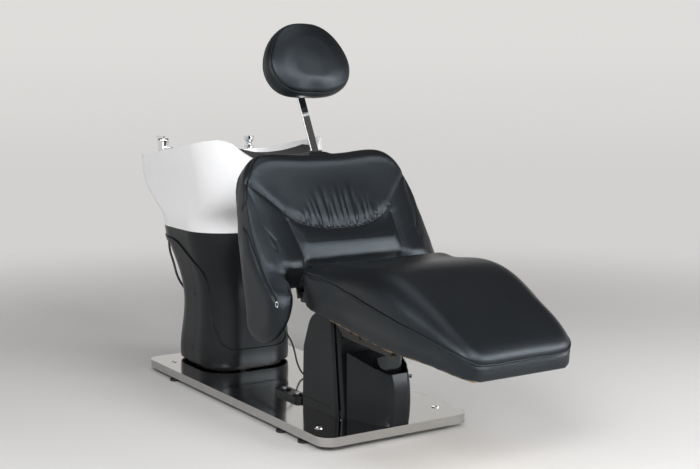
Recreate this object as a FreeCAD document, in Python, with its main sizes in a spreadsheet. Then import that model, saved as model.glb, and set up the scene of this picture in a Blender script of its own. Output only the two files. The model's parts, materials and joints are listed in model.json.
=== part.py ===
import FreeCAD, Part
import math
import os
import Sketcher
from FreeCAD import Placement, Rotation, Vector

# Hair washing bed: a leather lounger and a ceramic wash basin that share one floor plate.
# Plate frame: X runs from the basin to the foot end, Y is across, Z is up from the floor, and the
# middle of the plate is X = 0. Every piece is then moved by origin_back, so that the origin lies
# on the floor under the middle of the whole bed. All lengths are millimetres, angles degrees.

SIZES = {
    "origin_back": 208.0,
    "seat_gap": 0.3,
    "cut_overrun": 20.0,
    # floor plate
    "plate_length": 1290.0,
    "plate_width": 560.0,
    "plate_top": 45.0,
    "plate_rim": 29.0,
    "plate_skin": 3.0,
    "plate_corner": 52.0,
    "plate_edge_round": 4.0,
    "anchor_spacing_x": 1050.0,
    "anchor_spacing_y": 450.0,
    "anchor_hole_radius": 6.0,
    "anchor_ring_radius": 13.0,
    "anchor_ring_bore": 8.0,
    "anchor_ring_height": 2.0,
    # steel frame under the plate
    "rail_width": 34.0,
    "rail_side_inset": 4.0,
    "rail_end_inset": 60.0,
    "rail_bottom": 12.0,
    "cross_bar_width": 50.0,
    # levelling feet
    "foot_radius": 20.0,
    "foot_height": 8.0,
    "foot_stem_radius": 5.0,
    "foot_y": 264.0,
    "foot_head_x": -425.0,
    "foot_mid_x": 364.0,
    "foot_end_x": 500.0,
    # basin pedestal
    "tower_x": -458.0,
    "tower_top": 559.7,
    "tower_wall": 4.0,
    "tower_base_z": 57.0,
    "tower_base_half_x": 184.0,
    "tower_base_half_y": 182.0,
    "tower_base_corner": 120.0,
    "tower_shin_z": 180.0,
    "tower_shin_half_x": 177.0,
    "tower_shin_half_y": 176.0,
    "tower_shin_corner": 118.0,
    "tower_waist_z": 325.0,
    "tower_waist_half_x": 173.0,
    "tower_waist_half_y": 172.5,
    "tower_waist_corner": 116.0,
    "tower_hip_z": 440.0,
    "tower_hip_half_x": 200.5,
    "tower_hip_half_y": 200.0,
    "tower_hip_corner": 135.0,
    "tower_top_half_x": 236.0,
    "tower_top_half_y": 228.5,
    "tower_top_corner": 160.0,
    "tower_seam_x": -434.0,
    "tower_seam_gap": 1.2,
    "sweep_rear_z": 528.0,
    "sweep_shoulder_x": -480.0,
    "sweep_shoulder_z": 514.0,
    "sweep_shoulder_round": 150.0,
    "sweep_waist_x": -342.0,
    "sweep_waist_z": 412.0,
    "sweep_waist_round": 80.0,
    "sweep_knee_z": 240.0,
    "sweep_knee_round": 150.0,
    "sweep_toe_x": -288.0,
    "sweep_toe_z": 120.0,
    "sweep_toe_round": 60.0,
    "sweep_front_z": 109.0,
    "sweep_bead": 17.0,
    "sweep_bead_proud": 5.0,
    "skirt_inset": 2.0,
    "cover_screw_radius": 5.0,
    "cover_screw_depth": 8.0,
    "cover_screw_x": -455.0,
    "cover_screw_low_z": 111.0,
    "cover_screw_high_z": 310.0,
    # steel stand inside the pedestal
    "stand_foot_half_x": 158.0,
    "stand_foot_half_y": 156.0,
    "stand_foot_corner": 100.0,
    "stand_foot_thick": 8.0,
    "stand_leg": 36.0,
    "stand_leg_x": 92.0,
    "stand_leg_y": 92.0,
    "stand_plate_thick": 8.0,
    "stand_plate_half_x": 222.0,
    "stand_plate_half_y": 212.0,
    "stand_plate_corner": 134.0,
    "stand_window_half": 70.0,
    "stand_window_corner": 20.0,
    # basin
    "basin_base": 560.0,
    "basin_collar_z": 596.0,
    "basin_belly_z": 679.0,
    "basin_rim_z": 790.0,
    "basin_top": 935.0,
    "basin_belly_x": -442.0,
    "basin_belly_half_x": 337.0,
    "basin_belly_half_y": 236.0,
    "basin_belly_corner": 120.0,
    "basin_belly_front_round": 190.0,
    "basin_rim_x": -432.0,
    "basin_rim_half_x": 385.0,
    "basin_rim_half_y": 247.0,
    "basin_rim_corner": 120.0,
    "basin_rim_front_round": 234.0,
    "basin_rear_rim_z": 801.0,
    "basin_horn_z": 901.0,
    "basin_horn_x": -160.0,
    "basin_horn_round": 26.0,
    "basin_front_z": 862.0,
    "basin_front_x": -47.0,
    "bowl_floor_z": 636.0,
    "bowl_floor_x": -430.0,
    "bowl_floor_half_x": 165.0,
    "bowl_floor_half_y": 125.0,
    "bowl_floor_corner": 100.0,
    "bowl_side_z": 712.0,
    "bowl_side_half_x": 245.0,
    "bowl_side_half_y": 192.0,
    "bowl_x": -408.0,
    "bowl_rim_half_x": 278.0,
    "bowl_rim_half_y": 219.0,
    "bowl_rim_corner": 120.0,
    "bowl_drain_radius": 24.0,
    "bowl_drain_x": -458.0,
    "bowl_sink_floor": 14.0,
    "collar_wall": 16.0,
    "neck_radius": 229.0,
    "neck_low_z": 806.0,
    "neck_rear_x": -215.0,
    # neck cushion
    "neck_pad_rear_x": -200.0,
    "neck_pad_front_x": -40.0,
    "neck_pad_half_y": 152.0,
    "neck_pad_thick": 42.0,
    "neck_pad_lip": 9.0,
    # taps and shower on the rear deck
    "tap_x": -738.0,
    "tap_y": -150.0,
    "tap_foot_radius": 25.0,
    "tap_foot_height": 8.0,
    "tap_body_radius": 20.0,
    "tap_body_height": 38.0,
    "tap_spout_radius": 9.0,
    "tap_spout_reach": 78.0,
    "tap_cap_radius": 23.0,
    "tap_cap_height": 19.0,
    "tap_lever_radius": 5.0,
    "tap_lever_reach": 58.0,
    "tap_lever_height": 16.0,
    "shower_x": -700.0,
    "shower_y": 205.0,
    "shower_socket_radius": 20.0,
    "shower_socket_height": 16.0,
    "shower_socket_bore": 11.0,
    "shower_handle_radius": 10.6,
    "shower_handle_top_radius": 14.0,
    "shower_head_radius": 21.0,
    "shower_head_height": 22.0,
    "shower_handle_depth": 60.0,
    "shower_stand_height": 12.0,
    "deck_nut_radius": 19.0,
    "deck_nut_height": 8.0,
    "deck_tail_radius": 8.0,
    "deck_tail_length": 60.0,
    # waste
    "strainer_radius": 30.0,
    "strainer_height": 5.0,
    "strainer_stem_radius": 12.0,
    "strainer_stem_length": 26.0,
    "strainer_slot_width": 5.0,
    "strainer_slots": 6,
    "waste_flange_radius": 36.0,
    "waste_flange_height": 4.0,
    "waste_bore": 13.0,
    "waste_tube_radius": 19.0,
    "waste_nut_radius": 30.0,
    "waste_nut_height": 12.0,
    "waste_bottom": 515.0,
    "trap_radius": 38.0,
    "trap_height": 130.0,
    "trap_neck_radius": 24.0,
    "trap_neck_height": 30.0,
    "waste_pipe_radius": 16.0,
    "waste_pipe_wall": 2.5,
    "waste_pipe_reach": 62.0,
    # water supply
    "valve_radius": 13.0,
    "valve_length": 42.0,
    "valve_x": -400.0,
    "valve_y": 60.0,
    "valve_z": 130.0,
    # hose loop behind the pedestal
    "hose_radius": 4.5,
    "hose_x": -690.0,
    "hose_y": -146.0,
    "hose_top_z": 606.0,
    "gland_radius": 11.0,
    "gland_height": 9.0,
    "lead_radius": 3.2,
    # lounger column
    "column_rear_x": 230.0,
    "column_front_x": 476.0,
    "column_half_y": 118.0,
    "column_wall": 5.0,
    "column_top": 388.0,
    "column_corner": 26.0,
    "column_shoulder_x": 237.0,
    "column_shoulder_z": 242.0,
    "column_brow_x": 262.0,
    "column_brow_z": 303.0,
    "column_crown_x": 312.0,
    "column_crown_z": 352.0,
    "column_peak_x": 372.0,
    "column_front_top_x": 442.0,
    "column_crease_high_z": 232.0,
    "column_crease_low_z": 105.0,
    "column_crease_rear_x": 246.0,
    "column_crease_front_x": 418.0,
    "column_crease_depth": 1.5,
    "column_mouth_half_y": 92.0,
    "column_mouth_rear_x": 352.0,
    "column_mouth_z": 300.0,
    # steel post in the column
    "post_foot_rear_x": 262.0,
    "post_foot_front_x": 456.0,
    "post_foot_half_y": 104.0,
    "post_foot_thick": 10.0,
    "post_rear_x": 340.0,
    "post_front_x": 443.0,
    "post_half_y": 55.0,
    "post_top": 322.0,
    "ear_thick": 10.0,
    "ear_inner_y": 58.0,
    "ear_radius": 24.0,
    "pivot_x": 425.0,
    "pivot_z": 362.0,
    "pivot_hole": 10.0,
    "pin_clearance": 0.1,
    "pivot_pin_half": 88.0,
    "bolt_radius": 5.0,
    "bolt_head_radius": 9.0,
    "bolt_head_height": 7.0,
    "bolt_inset": 16.0,
    # cover of the actuator
    "nose_rear_x": 484.0,
    "nose_rear_half_y": 95.0,
    "nose_side_x": 596.0,
    "nose_side_half_y": 60.0,
    "nose_front_x": 651.0,
    "nose_base_front_x": 639.0,
    "nose_top_front_x": 612.0,
    "nose_belly_z": 110.0,
    "nose_top": 262.0,
    "nose_wall": 4.0,
    "nose_corner": 34.0,
    "nose_top_front_z": 206.0,
    "nose_panel_depth": 1.5,
    "nose_panel_inset": 14.0,
    "collar_rear_x": 556.0,
    "collar_front_x": 604.0,
    "collar_half_y": 44.0,
    "collar_top": 268.0,
    "collar_bottom": 190.0,
    "collar_thick": 4.0,
    # actuator
    "actuator_foot_x": 530.0,
    "actuator_foot_z": 84.0,
    "actuator_top_x": 600.0,
    "actuator_top_z": 330.0,
    "actuator_radius": 19.0,
    "actuator_length": 158.0,
    "actuator_neck": 28.0,
    "actuator_eye_radius": 13.0,
    "actuator_eye_thick": 16.0,
    "actuator_motor_radius": 24.0,
    "actuator_motor_length": 76.0,
    "actuator_motor_offset": 40.0,
    "rod_radius": 8.0,
    "rod_bore": 8.1,
    "rod_depth": 130.0,
    "rod_eye_radius": 14.0,
    "rod_eye_thick": 14.0,
    "rod_eye_bore": 7.5,
    "actuator_pin_radius": 6.0,
    "foot_clevis_gap": 18.0,
    "foot_clevis_ear": 6.0,
    "foot_clevis_half_x": 20.0,
    "foot_clevis_top": 102.0,
    "foot_clevis_base": 6.0,
    # foot switch
    "switch_rear_x": 62.0,
    "switch_front_x": 229.7,
    "switch_y": -100.0,
    "switch_half_y": 26.0,
    "switch_height": 14.0,
    "switch_corner": 22.0,
    "switch_button_x": 105.0,
    "switch_button_pitch": 85.0,
    "switch_well_radius": 14.0,
    "switch_ring_radius": 20.0,
    "switch_ring_height": 4.0,
    "switch_button_radius": 13.0,
    "switch_button_rise": 4.5,
    "switch_button_depth": 7.0,
    "switch_button_travel": 4.0,
    # release lever
    "lever_x": 431.0,
    "lever_z": 142.0,
    "lever_boss_radius": 8.0,
    "lever_boss_length": 14.0,
    "lever_arm_width": 12.0,
    "lever_arm_thick": 5.0,
    "lever_arm_reach": 34.0,
    "lever_pad_shift": 26.0,
    "lever_pad_radius": 14.0,
    "lever_pad_thick": 8.0,
    "lever_ear_thick": 4.0,
    "lever_pin_radius": 3.0,
    # seat frame
    "channel_outer_y": 121.0,
    "channel_thick": 4.0,
    "channel_flange": 24.0,
    "channel_rear_x": 496.0,
    "channel_front_x": 764.0,
    "channel_rear_low_z": 318.0,
    "channel_front_low_z": 301.0,
    "cross_rear_x": 524.0,
    "cross_mid_x": 600.0,
    "cross_front_x": 745.0,
    "cross_size_x": 24.0,
    "cross_size_z": 26.0,
    "lug_thick": 8.0,
    "lug_inner_y": 72.0,
    "lug_radius": 20.0,
    "clevis_ear_thick": 6.0,
    "clevis_gap": 18.0,
    "clevis_radius": 15.0,
    # seat board and cushion
    "board_thick": 12.0,
    "board_inset": 10.0,
    "seat_rear_x": 470.0,
    "seat_foot_x": 1234.0,
    "seat_half_y": 270.0,
    "seat_piping_z": 535.0,
    "seat_underside_z": 433.0,
    "seat_foot_drop": 166.0,
    "seat_knee_rise": 95.0,
    "seat_base_inset": 20.0,
    "board_screw_radius": 4.0,
    "board_screw_head": 8.0,
    "board_screw_head_height": 4.0,
    # recline hinge between seat frame and backrest
    "recline_x": 452.0,
    "recline_z": 414.0,
    "hinge_plate_thick": 6.0,
    "hinge_plate_radius": 20.0,
    "arm_gap": 1.2,
    "arm_thick": 7.0,
    "arm_radius": 18.0,
    "recline_bolt_radius": 7.0,
    "recline_bolt_head_radius": 13.0,
    "recline_bolt_head_height": 5.0,
    # backrest, in its own leaning frame
    "back_foot_x": 232.0,
    "back_foot_z": 440.0,
    "back_lean": 15.4,
    "back_half_y": 346.0,
    "back_height": 438.0,
    "back_bump": 8.0,
    "back_wing_drop": 187.0,
    "back_wing_inner_y": 277.0,
    "back_wing_round": 96.0,
    "back_depth_low": 232.0,
    "back_depth_mid": 144.0,
    "back_depth_top": 84.0,
    "back_panel_thick": 10.0,
    "back_panel_inset": 26.0,
    "back_board_thick": 12.0,
    "back_board_half_y": 220.0,
    "back_board_top": 322.0,
    "back_board_low": -8.0,
    "back_arm_width": 30.0,
    "back_arm_top": 240.0,
    "back_arm_low": -44.0,
    "back_pocket_clear": 0.5,
    # headrest
    "bar_lean": 27.0,
    "bar_top_x": 22.0,
    "bar_top_z": 1096.0,
    "bar_width": 28.0,
    "bar_thick": 10.0,
    "bar_exposed": 258.0,
    "bar_insert": 92.0,
    "bar_round": 2.0,
    "sleeve_wall": 2.5,
    "sleeve_clear": 0.4,
    "sleeve_length": 236.0,
    "sleeve_collar": 5.0,
    "sleeve_collar_height": 4.0,
    "knuckle_radius": 13.0,
    "knuckle_width": 20.0,
    "knuckle_offset": 18.0,
    "knuckle_drop": 10.0,
    "knuckle_pin_radius": 5.0,
    "knuckle_ear": 6.0,
    "knuckle_gap": 0.4,
    "head_plate_half_y": 70.0,
    "head_plate_half_z": 55.0,
    "head_plate_thick": 5.0,
    "head_plate_corner": 16.0,
    "head_half_y": 160.0,
    "head_height": 262.0,
    "head_thick": 98.0,
    "head_lean": 22.0,
    "head_drop": 74.0,
}

# Height of the sections of the lounger's soft parts, as shares of the sizes named beside them.
# Seat cushion: along its length, half width, fall of the piping, crown, fall of the underside.
SEAT_STATION_SHARES = (
    (0.000, 0.930, 0.100, 0.080, -0.060),
    (0.024, 0.993, 0.020, 0.130, 0.010),
    (0.200, 0.980, 0.075, 0.460, 0.140),
    (0.375, 0.955, 0.215, 0.860, 0.262),
    (0.550, 0.935, 0.378, 1.120, 0.370),
    (0.655, 0.918, 0.480, 1.000, 0.392),
    (0.790, 0.862, 0.615, 0.690, 0.430),
    (0.915, 0.790, 0.770, 0.380, 0.520),
    (0.972, 0.715, 0.880, 0.230, 0.565),
    (1.000, 0.560, 0.985, 0.060, 0.590),
)
# Backrest: across its half width, top, bottom and depth.
BACK_STATION_SHARES = (
    (0.00, 1.000, -0.034, 1.00),
    (0.36, 1.010, -0.034, 0.99),
    (0.62, 1.018, -0.030, 0.97),
    (0.78, 0.975, -0.020, 0.95),
    (0.88, 0.880, 0.000, 0.92),
    (0.96, 0.690, 0.060, 0.88),
    (1.00, 0.420, 0.140, 0.80),
)
# Hip wings: across the half width, top, share of the drop, depth.
WING_STATION_SHARES = (
    (0.000, 0.330, 0.560, 0.890),
    (0.260, 0.380, 0.900, 0.915),
    (0.620, 0.360, 1.000, 0.880),
    (1.000, 0.240, 0.620, 0.740),
)
# Headrest: along its thickness, size of the outline.
HEAD_STATION_SHARES = (
    (0.00, 0.860),
    (0.10, 0.985),
    (0.45, 1.000),
    (0.72, 0.965),
    (0.89, 0.840),
    (0.97, 0.600),
    (1.00, 0.250),
)
# Outline of the headrest: half width and height, from its lowest point round to its highest.
HEAD_OUTLINE_SHARES = (
    (0.00, -1.000),
    (0.48, -0.955),
    (0.83, -0.740),
    (1.00, -0.290),
    (0.915, 0.250),
    (0.660, 0.710),
    (0.320, 0.955),
    (0.00, 1.000),
)


class Size:
    """A number together with the sheet expression that gives it."""

    def __init__(self, value, text):
        self.value = float(value)
        self.text = text

    def __add__(self, other):
        return Size(self.value + number(other), joined(self, "+", other))

    def __radd__(self, other):
        return Size(number(other) + self.value, joined(other, "+", self))

    def __sub__(self, other):
        return Size(self.value - number(other), joined(self, "-", other))

    def __rsub__(self, other):
        return Size(number(other) - self.value, joined(other, "-", self))

    def __mul__(self, other):
        return Size(self.value * number(other), joined(self, "*", other))

    def __rmul__(self, other):
        return Size(number(other) * self.value, joined(other, "*", self))

    def __truediv__(self, other):
        return Size(self.value / number(other), joined(self, "/", other))

    def __neg__(self):
        return Size(-self.value, "(-%s)" % self.text)


def number(item):
    return item.value if isinstance(item, Size) else float(item)


def formula(item):
    return item.text if isinstance(item, Size) else "(%r)" % float(item)


def joined(left, sign, right):
    return "(%s %s %s)" % (formula(left), sign, formula(right))


def sine(angle):
    return Size(math.sin(math.radians(number(angle))), "sin(%s)" % formula(angle))


def cosine(angle):
    return Size(math.cos(math.radians(number(angle))), "cos(%s)" % formula(angle))


class Sizes:
    """Reads the spreadsheet's cells by their names."""

    def __init__(self, sheet):
        self.sheet = sheet

    def __getattr__(self, name):
        return Size(self.sheet.get(name), "Sizes.%s" % name)


def make_sheet(doc):
    sheet = doc.addObject("Spreadsheet::Sheet", "Sizes")
    for row, (name, value) in enumerate(SIZES.items(), start=1):
        sheet.set("A%d" % row, name)
        sheet.set("B%d" % row, str(value))
        sheet.setAlias("B%d" % row, name)
    doc.recompute()
    return sheet


doc = FreeCAD.newDocument("HairWashingBed")
S = Sizes(make_sheet(doc))
pieces = []


def place(obj, at, lean):
    """Puts an object at a point of the plate frame, leaning back by an angle about Y."""
    turn = Rotation(Vector(0, 1, 0), -number(lean))
    obj.Placement = Placement(Vector(*[number(part) for part in at]), turn)
    shifted = (at[0] - S.origin_back, at[1], at[2])
    for name, part in zip("xyz", shifted):
        obj.setExpression(".Placement.Base.%s" % name, formula(part))


class Outline:
    """A fully dimensioned sketch on one of its body's origin planes."""

    def __init__(self, body, plane, offset):
        self.sketch = body.newObject("Sketcher::SketchObject", body.Label + "_outline")
        support = [item for item in body.Origin.OriginFeatures if item.Role == plane + "_Plane"][0]
        self.sketch.AttachmentSupport = [(support, "")]
        self.sketch.MapMode = "FlatFace"
        self.sketch.setExpression(".AttachmentOffset.Base.z", formula(offset))

    def dimension(self, kind, geometry, size):
        index = self.sketch.addConstraint(Sketcher.Constraint(kind, *geometry, number(size)))
        self.sketch.setExpression("Constraints[%d]" % index, formula(size))

    def relate(self, kind, *geometry):
        self.sketch.addConstraint(Sketcher.Constraint(kind, *geometry))

    def locate(self, geometry, point, x, y):
        self.dimension("DistanceX", (-1, 1, geometry, point), x)
        self.dimension("DistanceY", (-1, 1, geometry, point), y)

    def circle(self, x, y, radius):
        centre = Vector(number(x), number(y), 0)
        index = self.sketch.addGeometry(Part.Circle(centre, Vector(0, 0, 1), number(radius)), False)
        self.dimension("Radius", (index,), radius)
        self.locate(index, 3, x, y)
        return self

    def polygon(self, points):
        """Closes straight lines through points (x, y) or (x, y, corner radius)."""
        spots = [Vector(number(point[0]), number(point[1]), 0) for point in points]
        count = len(points)
        starts, ends, arcs = [], [], []
        for index, point in enumerate(points):
            here, before, after = spots[index], spots[index - 1], spots[(index + 1) % count]
            if len(point) == 2:
                starts.append(here)
                ends.append(here)
                arcs.append(None)
                continue
            back = (before - here).normalize()
            ahead = (after - here).normalize()
            half = back.getAngle(ahead) / 2
            run = number(point[2]) / math.tan(half)
            middle = (back + ahead).normalize()
            centre = here + middle * (number(point[2]) / math.sin(half))
            ends.append(here + back * run)
            starts.append(here + ahead * run)
            arcs.append((centre, number(point[2])))
        lines = []
        for index in range(count):
            edge = Part.LineSegment(starts[index], ends[(index + 1) % count])
            lines.append(self.sketch.addGeometry(edge, False))
        for index, point in enumerate(points):
            before, after = lines[index - 1], lines[index]
            if arcs[index] is None:
                self.relate("Coincident", before, 2, after, 1)
                self.locate(after, 1, point[0], point[1])
                continue
            centre, radius = arcs[index]
            toward = centre + (spots[index] - centre).normalize() * radius
            here, before_end, after_end = spots[index], ends[index], starts[index]
            turns_left = (before_end - here).cross(after_end - here).z < 0
            if turns_left:
                bend, first = Part.Arc(before_end, toward, after_end), 1
            else:
                bend, first = Part.Arc(after_end, toward, before_end), 2
            corner = self.sketch.addGeometry(bend, False)
            self.relate("Tangent", before, 2, corner, first)
            self.relate("Tangent", after, 1, corner, 3 - first)
            self.dimension("Radius", (corner,), point[2])
            knot = self.sketch.addGeometry(Part.Point(spots[index]), True)
            self.relate("PointOnObject", knot, 1, before)
            self.relate("PointOnObject", knot, 1, after)
            self.locate(knot, 1, point[0], point[1])
        return self

    def box(self, x, y, half_x, half_y, corner=None, front=None):
        """A rectangle, with its corners rounded, and those of its +X end by a radius of their own."""
        signs = ((-1, -1), (1, -1), (1, 1), (-1, 1))
        ends = [(x + half_x * across, y + half_y * along) for across, along in signs]
        if corner is not None:
            rounds = (corner, front or corner, front or corner, corner)
            ends = [point + (round_,) for point, round_ in zip(ends, rounds)]
        return self.polygon(ends)


class Piece:
    """One body: outlines on its origin planes and the features made from them."""

    def __init__(self, label, at=(0, 0, 0), lean=0):
        self.body = doc.addObject("PartDesign::Body", label)
        self.body.Label = label
        self.body.AllowCompound = True
        place(self.body, at, lean)
        pieces.append(self.body)

    def outline(self, plane, offset=0):
        return Outline(self.body, plane, offset)

    def _feature(self, kind, outline, length, both, reverse):
        feature = self.body.newObject("PartDesign::" + kind, self.body.Label + "_" + kind.lower())
        feature.Profile = outline.sketch
        outline.sketch.Visibility = False
        feature.setExpression("Length", formula(length))
        feature.Reversed = reverse
        if both:
            feature.SideType = "Symmetric"
        return feature

    def pad(self, outline, length, both=False, reverse=False):
        self._feature("Pad", outline, length, both, reverse)
        return self

    def pocket(self, outline, length, both=False, reverse=False):
        self._feature("Pocket", outline, length, both, reverse)
        return self

    def revolve(self, outline, axis="V_Axis"):
        feature = self.body.newObject("PartDesign::Revolution", self.body.Label + "_revolution")
        feature.Profile = outline.sketch
        feature.ReferenceAxis = (outline.sketch, [axis])
        feature.Angle = 360
        return self

    def loft(self, outlines, kind="AdditiveLoft", ruled=False):
        feature = self.body.newObject("PartDesign::" + kind, self.body.Label + "_" + kind.lower())
        feature.Profile = outlines[0].sketch
        feature.Sections = [outline.sketch for outline in outlines[1:]]
        feature.Ruled = ruled
        return self

    def round_edges(self, radius, wanted):
        doc.recompute()
        base = self.body.Tip
        names = []
        for index, edge in enumerate(base.Shape.Edges, start=1):
            if wanted(edge):
                names.append("Edge%d" % index)
        feature = self.body.newObject("PartDesign::Fillet", self.body.Label + "_fillet")
        feature.Base = (base, names)
        feature.setExpression("Radius", formula(radius))
        return self

    def turn_shape(self):
        doc.recompute()
        return self.body.Shape


def solid_piece(label, shape, at=(0, 0, 0), lean=0):
    """A sub-part whose form is built directly from its sizes."""
    feature = doc.addObject("Part::Feature", label)
    feature.Label = label
    feature.Shape = shape
    place(feature, at, lean)
    pieces.append(feature)
    return feature


def arc(first, middle, last):
    return Part.Arc(Vector(*first), Vector(*middle), Vector(*last)).toShape()


def line(first, last):
    return Part.LineSegment(Vector(*first), Vector(*last)).toShape()


def slab(x_low, x_high, y_low, y_high, z_low, z_high):
    """A block between two corners given in sizes."""
    low = Vector(number(x_low), number(y_low), number(z_low))
    high = Vector(number(x_high), number(y_high), number(z_high))
    size = high - low
    return Part.makeBox(size.x, size.y, size.z, low)


def upright_edge(edge):
    if not isinstance(edge.Curve, Part.Line):
        return False
    return abs(edge.Curve.Direction.z) > 0.999


def level_edge_at(height):
    def wanted(edge):
        box = edge.BoundBox
        return abs(box.ZMin - number(height)) < 0.01 and abs(box.ZMax - number(height)) < 0.01
    return wanted


def base_plate():
    piece = Piece("base_plate")
    low = S.plate_top - S.plate_rim
    half_x, half_y = S.plate_length / 2, S.plate_width / 2
    piece.pad(piece.outline("XY", low).box(0, 0, half_x, half_y, S.plate_corner), S.plate_rim)
    hollow = piece.outline("XY", low)
    skin = S.plate_skin
    hollow.box(0, 0, half_x - skin, half_y - skin, S.plate_corner - skin)
    piece.pocket(hollow, S.plate_rim - skin, reverse=True)
    holes = piece.outline("XY", S.plate_top)
    for across in (-1, 1):
        for along in (-1, 1):
            x, y = S.anchor_spacing_x / 2 * across, S.anchor_spacing_y / 2 * along
            holes.circle(x, y, S.anchor_hole_radius)
    piece.pocket(holes, skin * 2)


def anchor_rings():
    piece = Piece("anchor_rings")
    rings = piece.outline("XY", S.plate_top)
    bores = piece.outline("XY", S.plate_top)
    for across in (-1, 1):
        for along in (-1, 1):
            x, y = S.anchor_spacing_x / 2 * across, S.anchor_spacing_y / 2 * along
            rings.circle(x, y, S.anchor_ring_radius)
            bores.circle(x, y, S.anchor_ring_bore)
    piece.pad(rings, S.anchor_ring_height)
    piece.pocket(bores, S.anchor_ring_height, reverse=True)


def under_frame():
    piece = Piece("under_frame")
    top = S.plate_top - S.plate_skin
    depth = top - S.rail_bottom
    side = S.plate_width / 2 - S.plate_skin - S.rail_side_inset - S.rail_width / 2
    half = S.plate_length / 2 - S.rail_end_inset
    rails = piece.outline("XY", S.rail_bottom)
    rails.box(0, side, half, S.rail_width / 2)
    rails.box(0, -side, half, S.rail_width / 2)
    piece.pad(rails, depth)
    bars = piece.outline("XY", S.rail_bottom)
    reach = side - S.rail_width / 4
    column = (S.column_rear_x + S.column_front_x) / 2
    for x in (S.tower_x, column):
        bars.box(x, 0, S.cross_bar_width / 2, reach)
    piece.pad(bars, depth)


def levelling_feet():
    piece = Piece("levelling_feet")
    discs = piece.outline("XY", 0)
    stems = piece.outline("XY", 0)
    for x in (S.foot_head_x, S.foot_mid_x, S.foot_end_x):
        for side in (-1, 1):
            discs.circle(x, S.foot_y * side, S.foot_radius)
            stems.circle(x, S.foot_y * side, S.foot_stem_radius)
    piece.pad(discs, S.foot_height)
    piece.pad(stems, S.rail_bottom)


def tower_rings(piece, shrink, proud=0):
    """Five sections of the pedestal tower, drawn in or let out by a wall."""
    rows = (
        (S.tower_base_z, S.tower_base_half_x, S.tower_base_half_y, S.tower_base_corner),
        (S.tower_shin_z, S.tower_shin_half_x, S.tower_shin_half_y, S.tower_shin_corner),
        (S.tower_waist_z, S.tower_waist_half_x, S.tower_waist_half_y, S.tower_waist_corner),
        (S.tower_hip_z, S.tower_hip_half_x, S.tower_hip_half_y, S.tower_hip_corner),
        (S.tower_top, S.tower_top_half_x, S.tower_top_half_y, S.tower_top_corner),
    )
    rings = []
    for height, half_x, half_y, corner in rows:
        ring = piece.outline("XY", height)
        ring.box(S.tower_x, 0, half_x - shrink + proud, half_y - shrink + proud, corner - shrink + proud)
        rings.append(ring)
    return rings


def sweep_points(drop=0):
    """The line that sweeps from the rear of the tower down to its front, or lies a drop outside it."""
    return [
        (tower_rear_x(), S.sweep_rear_z - drop),
        (S.sweep_shoulder_x - drop / 4, S.sweep_shoulder_z - drop, S.sweep_shoulder_round),
        (S.sweep_waist_x - drop, S.sweep_waist_z - drop / 2, S.sweep_waist_round),
        (S.sweep_waist_x - drop, S.sweep_knee_z - drop / 4, S.sweep_knee_round),
        (S.sweep_toe_x - drop / 2, S.sweep_toe_z - drop * 0.8, S.sweep_toe_round),
        (tower_front_x(), S.sweep_front_z - drop * 0.8),
    ]


def tower_reach():
    return S.tower_top_half_x + S.cut_overrun


def tower_shell(label, inset):
    piece = Piece(label)
    piece.loft(tower_rings(piece, inset))
    piece.loft(tower_rings(piece, S.tower_wall + inset), "SubtractiveLoft")
    return piece


def tower_front_x():
    return S.tower_x + tower_reach()


def tower_rear_x():
    return S.tower_x - tower_reach()


def pedestal_front_shell():
    piece = tower_shell("pedestal_front_shell", 0)
    below = piece.outline("XZ")
    low = S.plate_top - S.cut_overrun
    below.polygon([(tower_rear_x(), low)] + sweep_points() + [(tower_front_x(), low)])
    piece.pocket(below, tower_reach() * 2, both=True)


def pedestal_bead():
    """The raised double edge that follows the sweep."""
    piece = Piece("pedestal_trim")
    piece.loft(tower_rings(piece, 0, S.sweep_bead_proud))
    piece.loft(tower_rings(piece, -S.seat_gap), "SubtractiveLoft")
    gap = S.sweep_bead
    low, high = S.plate_top - S.cut_overrun, S.tower_top + S.cut_overrun
    above = piece.outline("XZ")
    above.polygon([(tower_rear_x(), high)] + sweep_points() + [(tower_front_x(), high)])
    piece.pocket(above, tower_reach() * 2, both=True)
    below = piece.outline("XZ")
    below.polygon([(tower_rear_x(), low)] + sweep_points(gap) + [(tower_front_x(), low)])
    piece.pocket(below, tower_reach() * 2, both=True)


def lower_shell(label, keep_front):
    piece = tower_shell(label, S.skirt_inset)
    high = S.tower_top + S.cut_overrun
    above = piece.outline("XZ")
    gap = S.seat_gap
    above.polygon([(tower_rear_x(), high)] + sweep_points(gap) + [(tower_front_x(), high)])
    piece.pocket(above, tower_reach() * 2, both=True)
    low = S.plate_top - S.cut_overrun
    away = piece.outline("XZ")
    if keep_front:
        edges = (tower_rear_x(), S.tower_seam_x + S.tower_seam_gap / 2)
    else:
        edges = (S.tower_seam_x - S.tower_seam_gap / 2, tower_front_x())
    away.polygon([(edges[0], low), (edges[1], low), (edges[1], high), (edges[0], high)])
    piece.pocket(away, tower_reach() * 2, both=True)
    return piece


def pedestal_screws():
    """Low screw heads on both sides of the rear cover, shaped to its skin."""
    piece = Piece("pedestal_screws")
    piece.loft(tower_rings(piece, 0))
    piece.loft(tower_rings(piece, S.skirt_inset), "SubtractiveLoft")
    away = piece.outline("XZ")
    half_x, half_z = tower_reach(), S.tower_top
    away.box(S.tower_x, half_z, half_x, half_z)
    for height in (S.cover_screw_low_z, S.cover_screw_high_z):
        away.circle(S.cover_screw_x, height, S.cover_screw_radius)
    piece.pocket(away, tower_reach() * 2, both=True)


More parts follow.
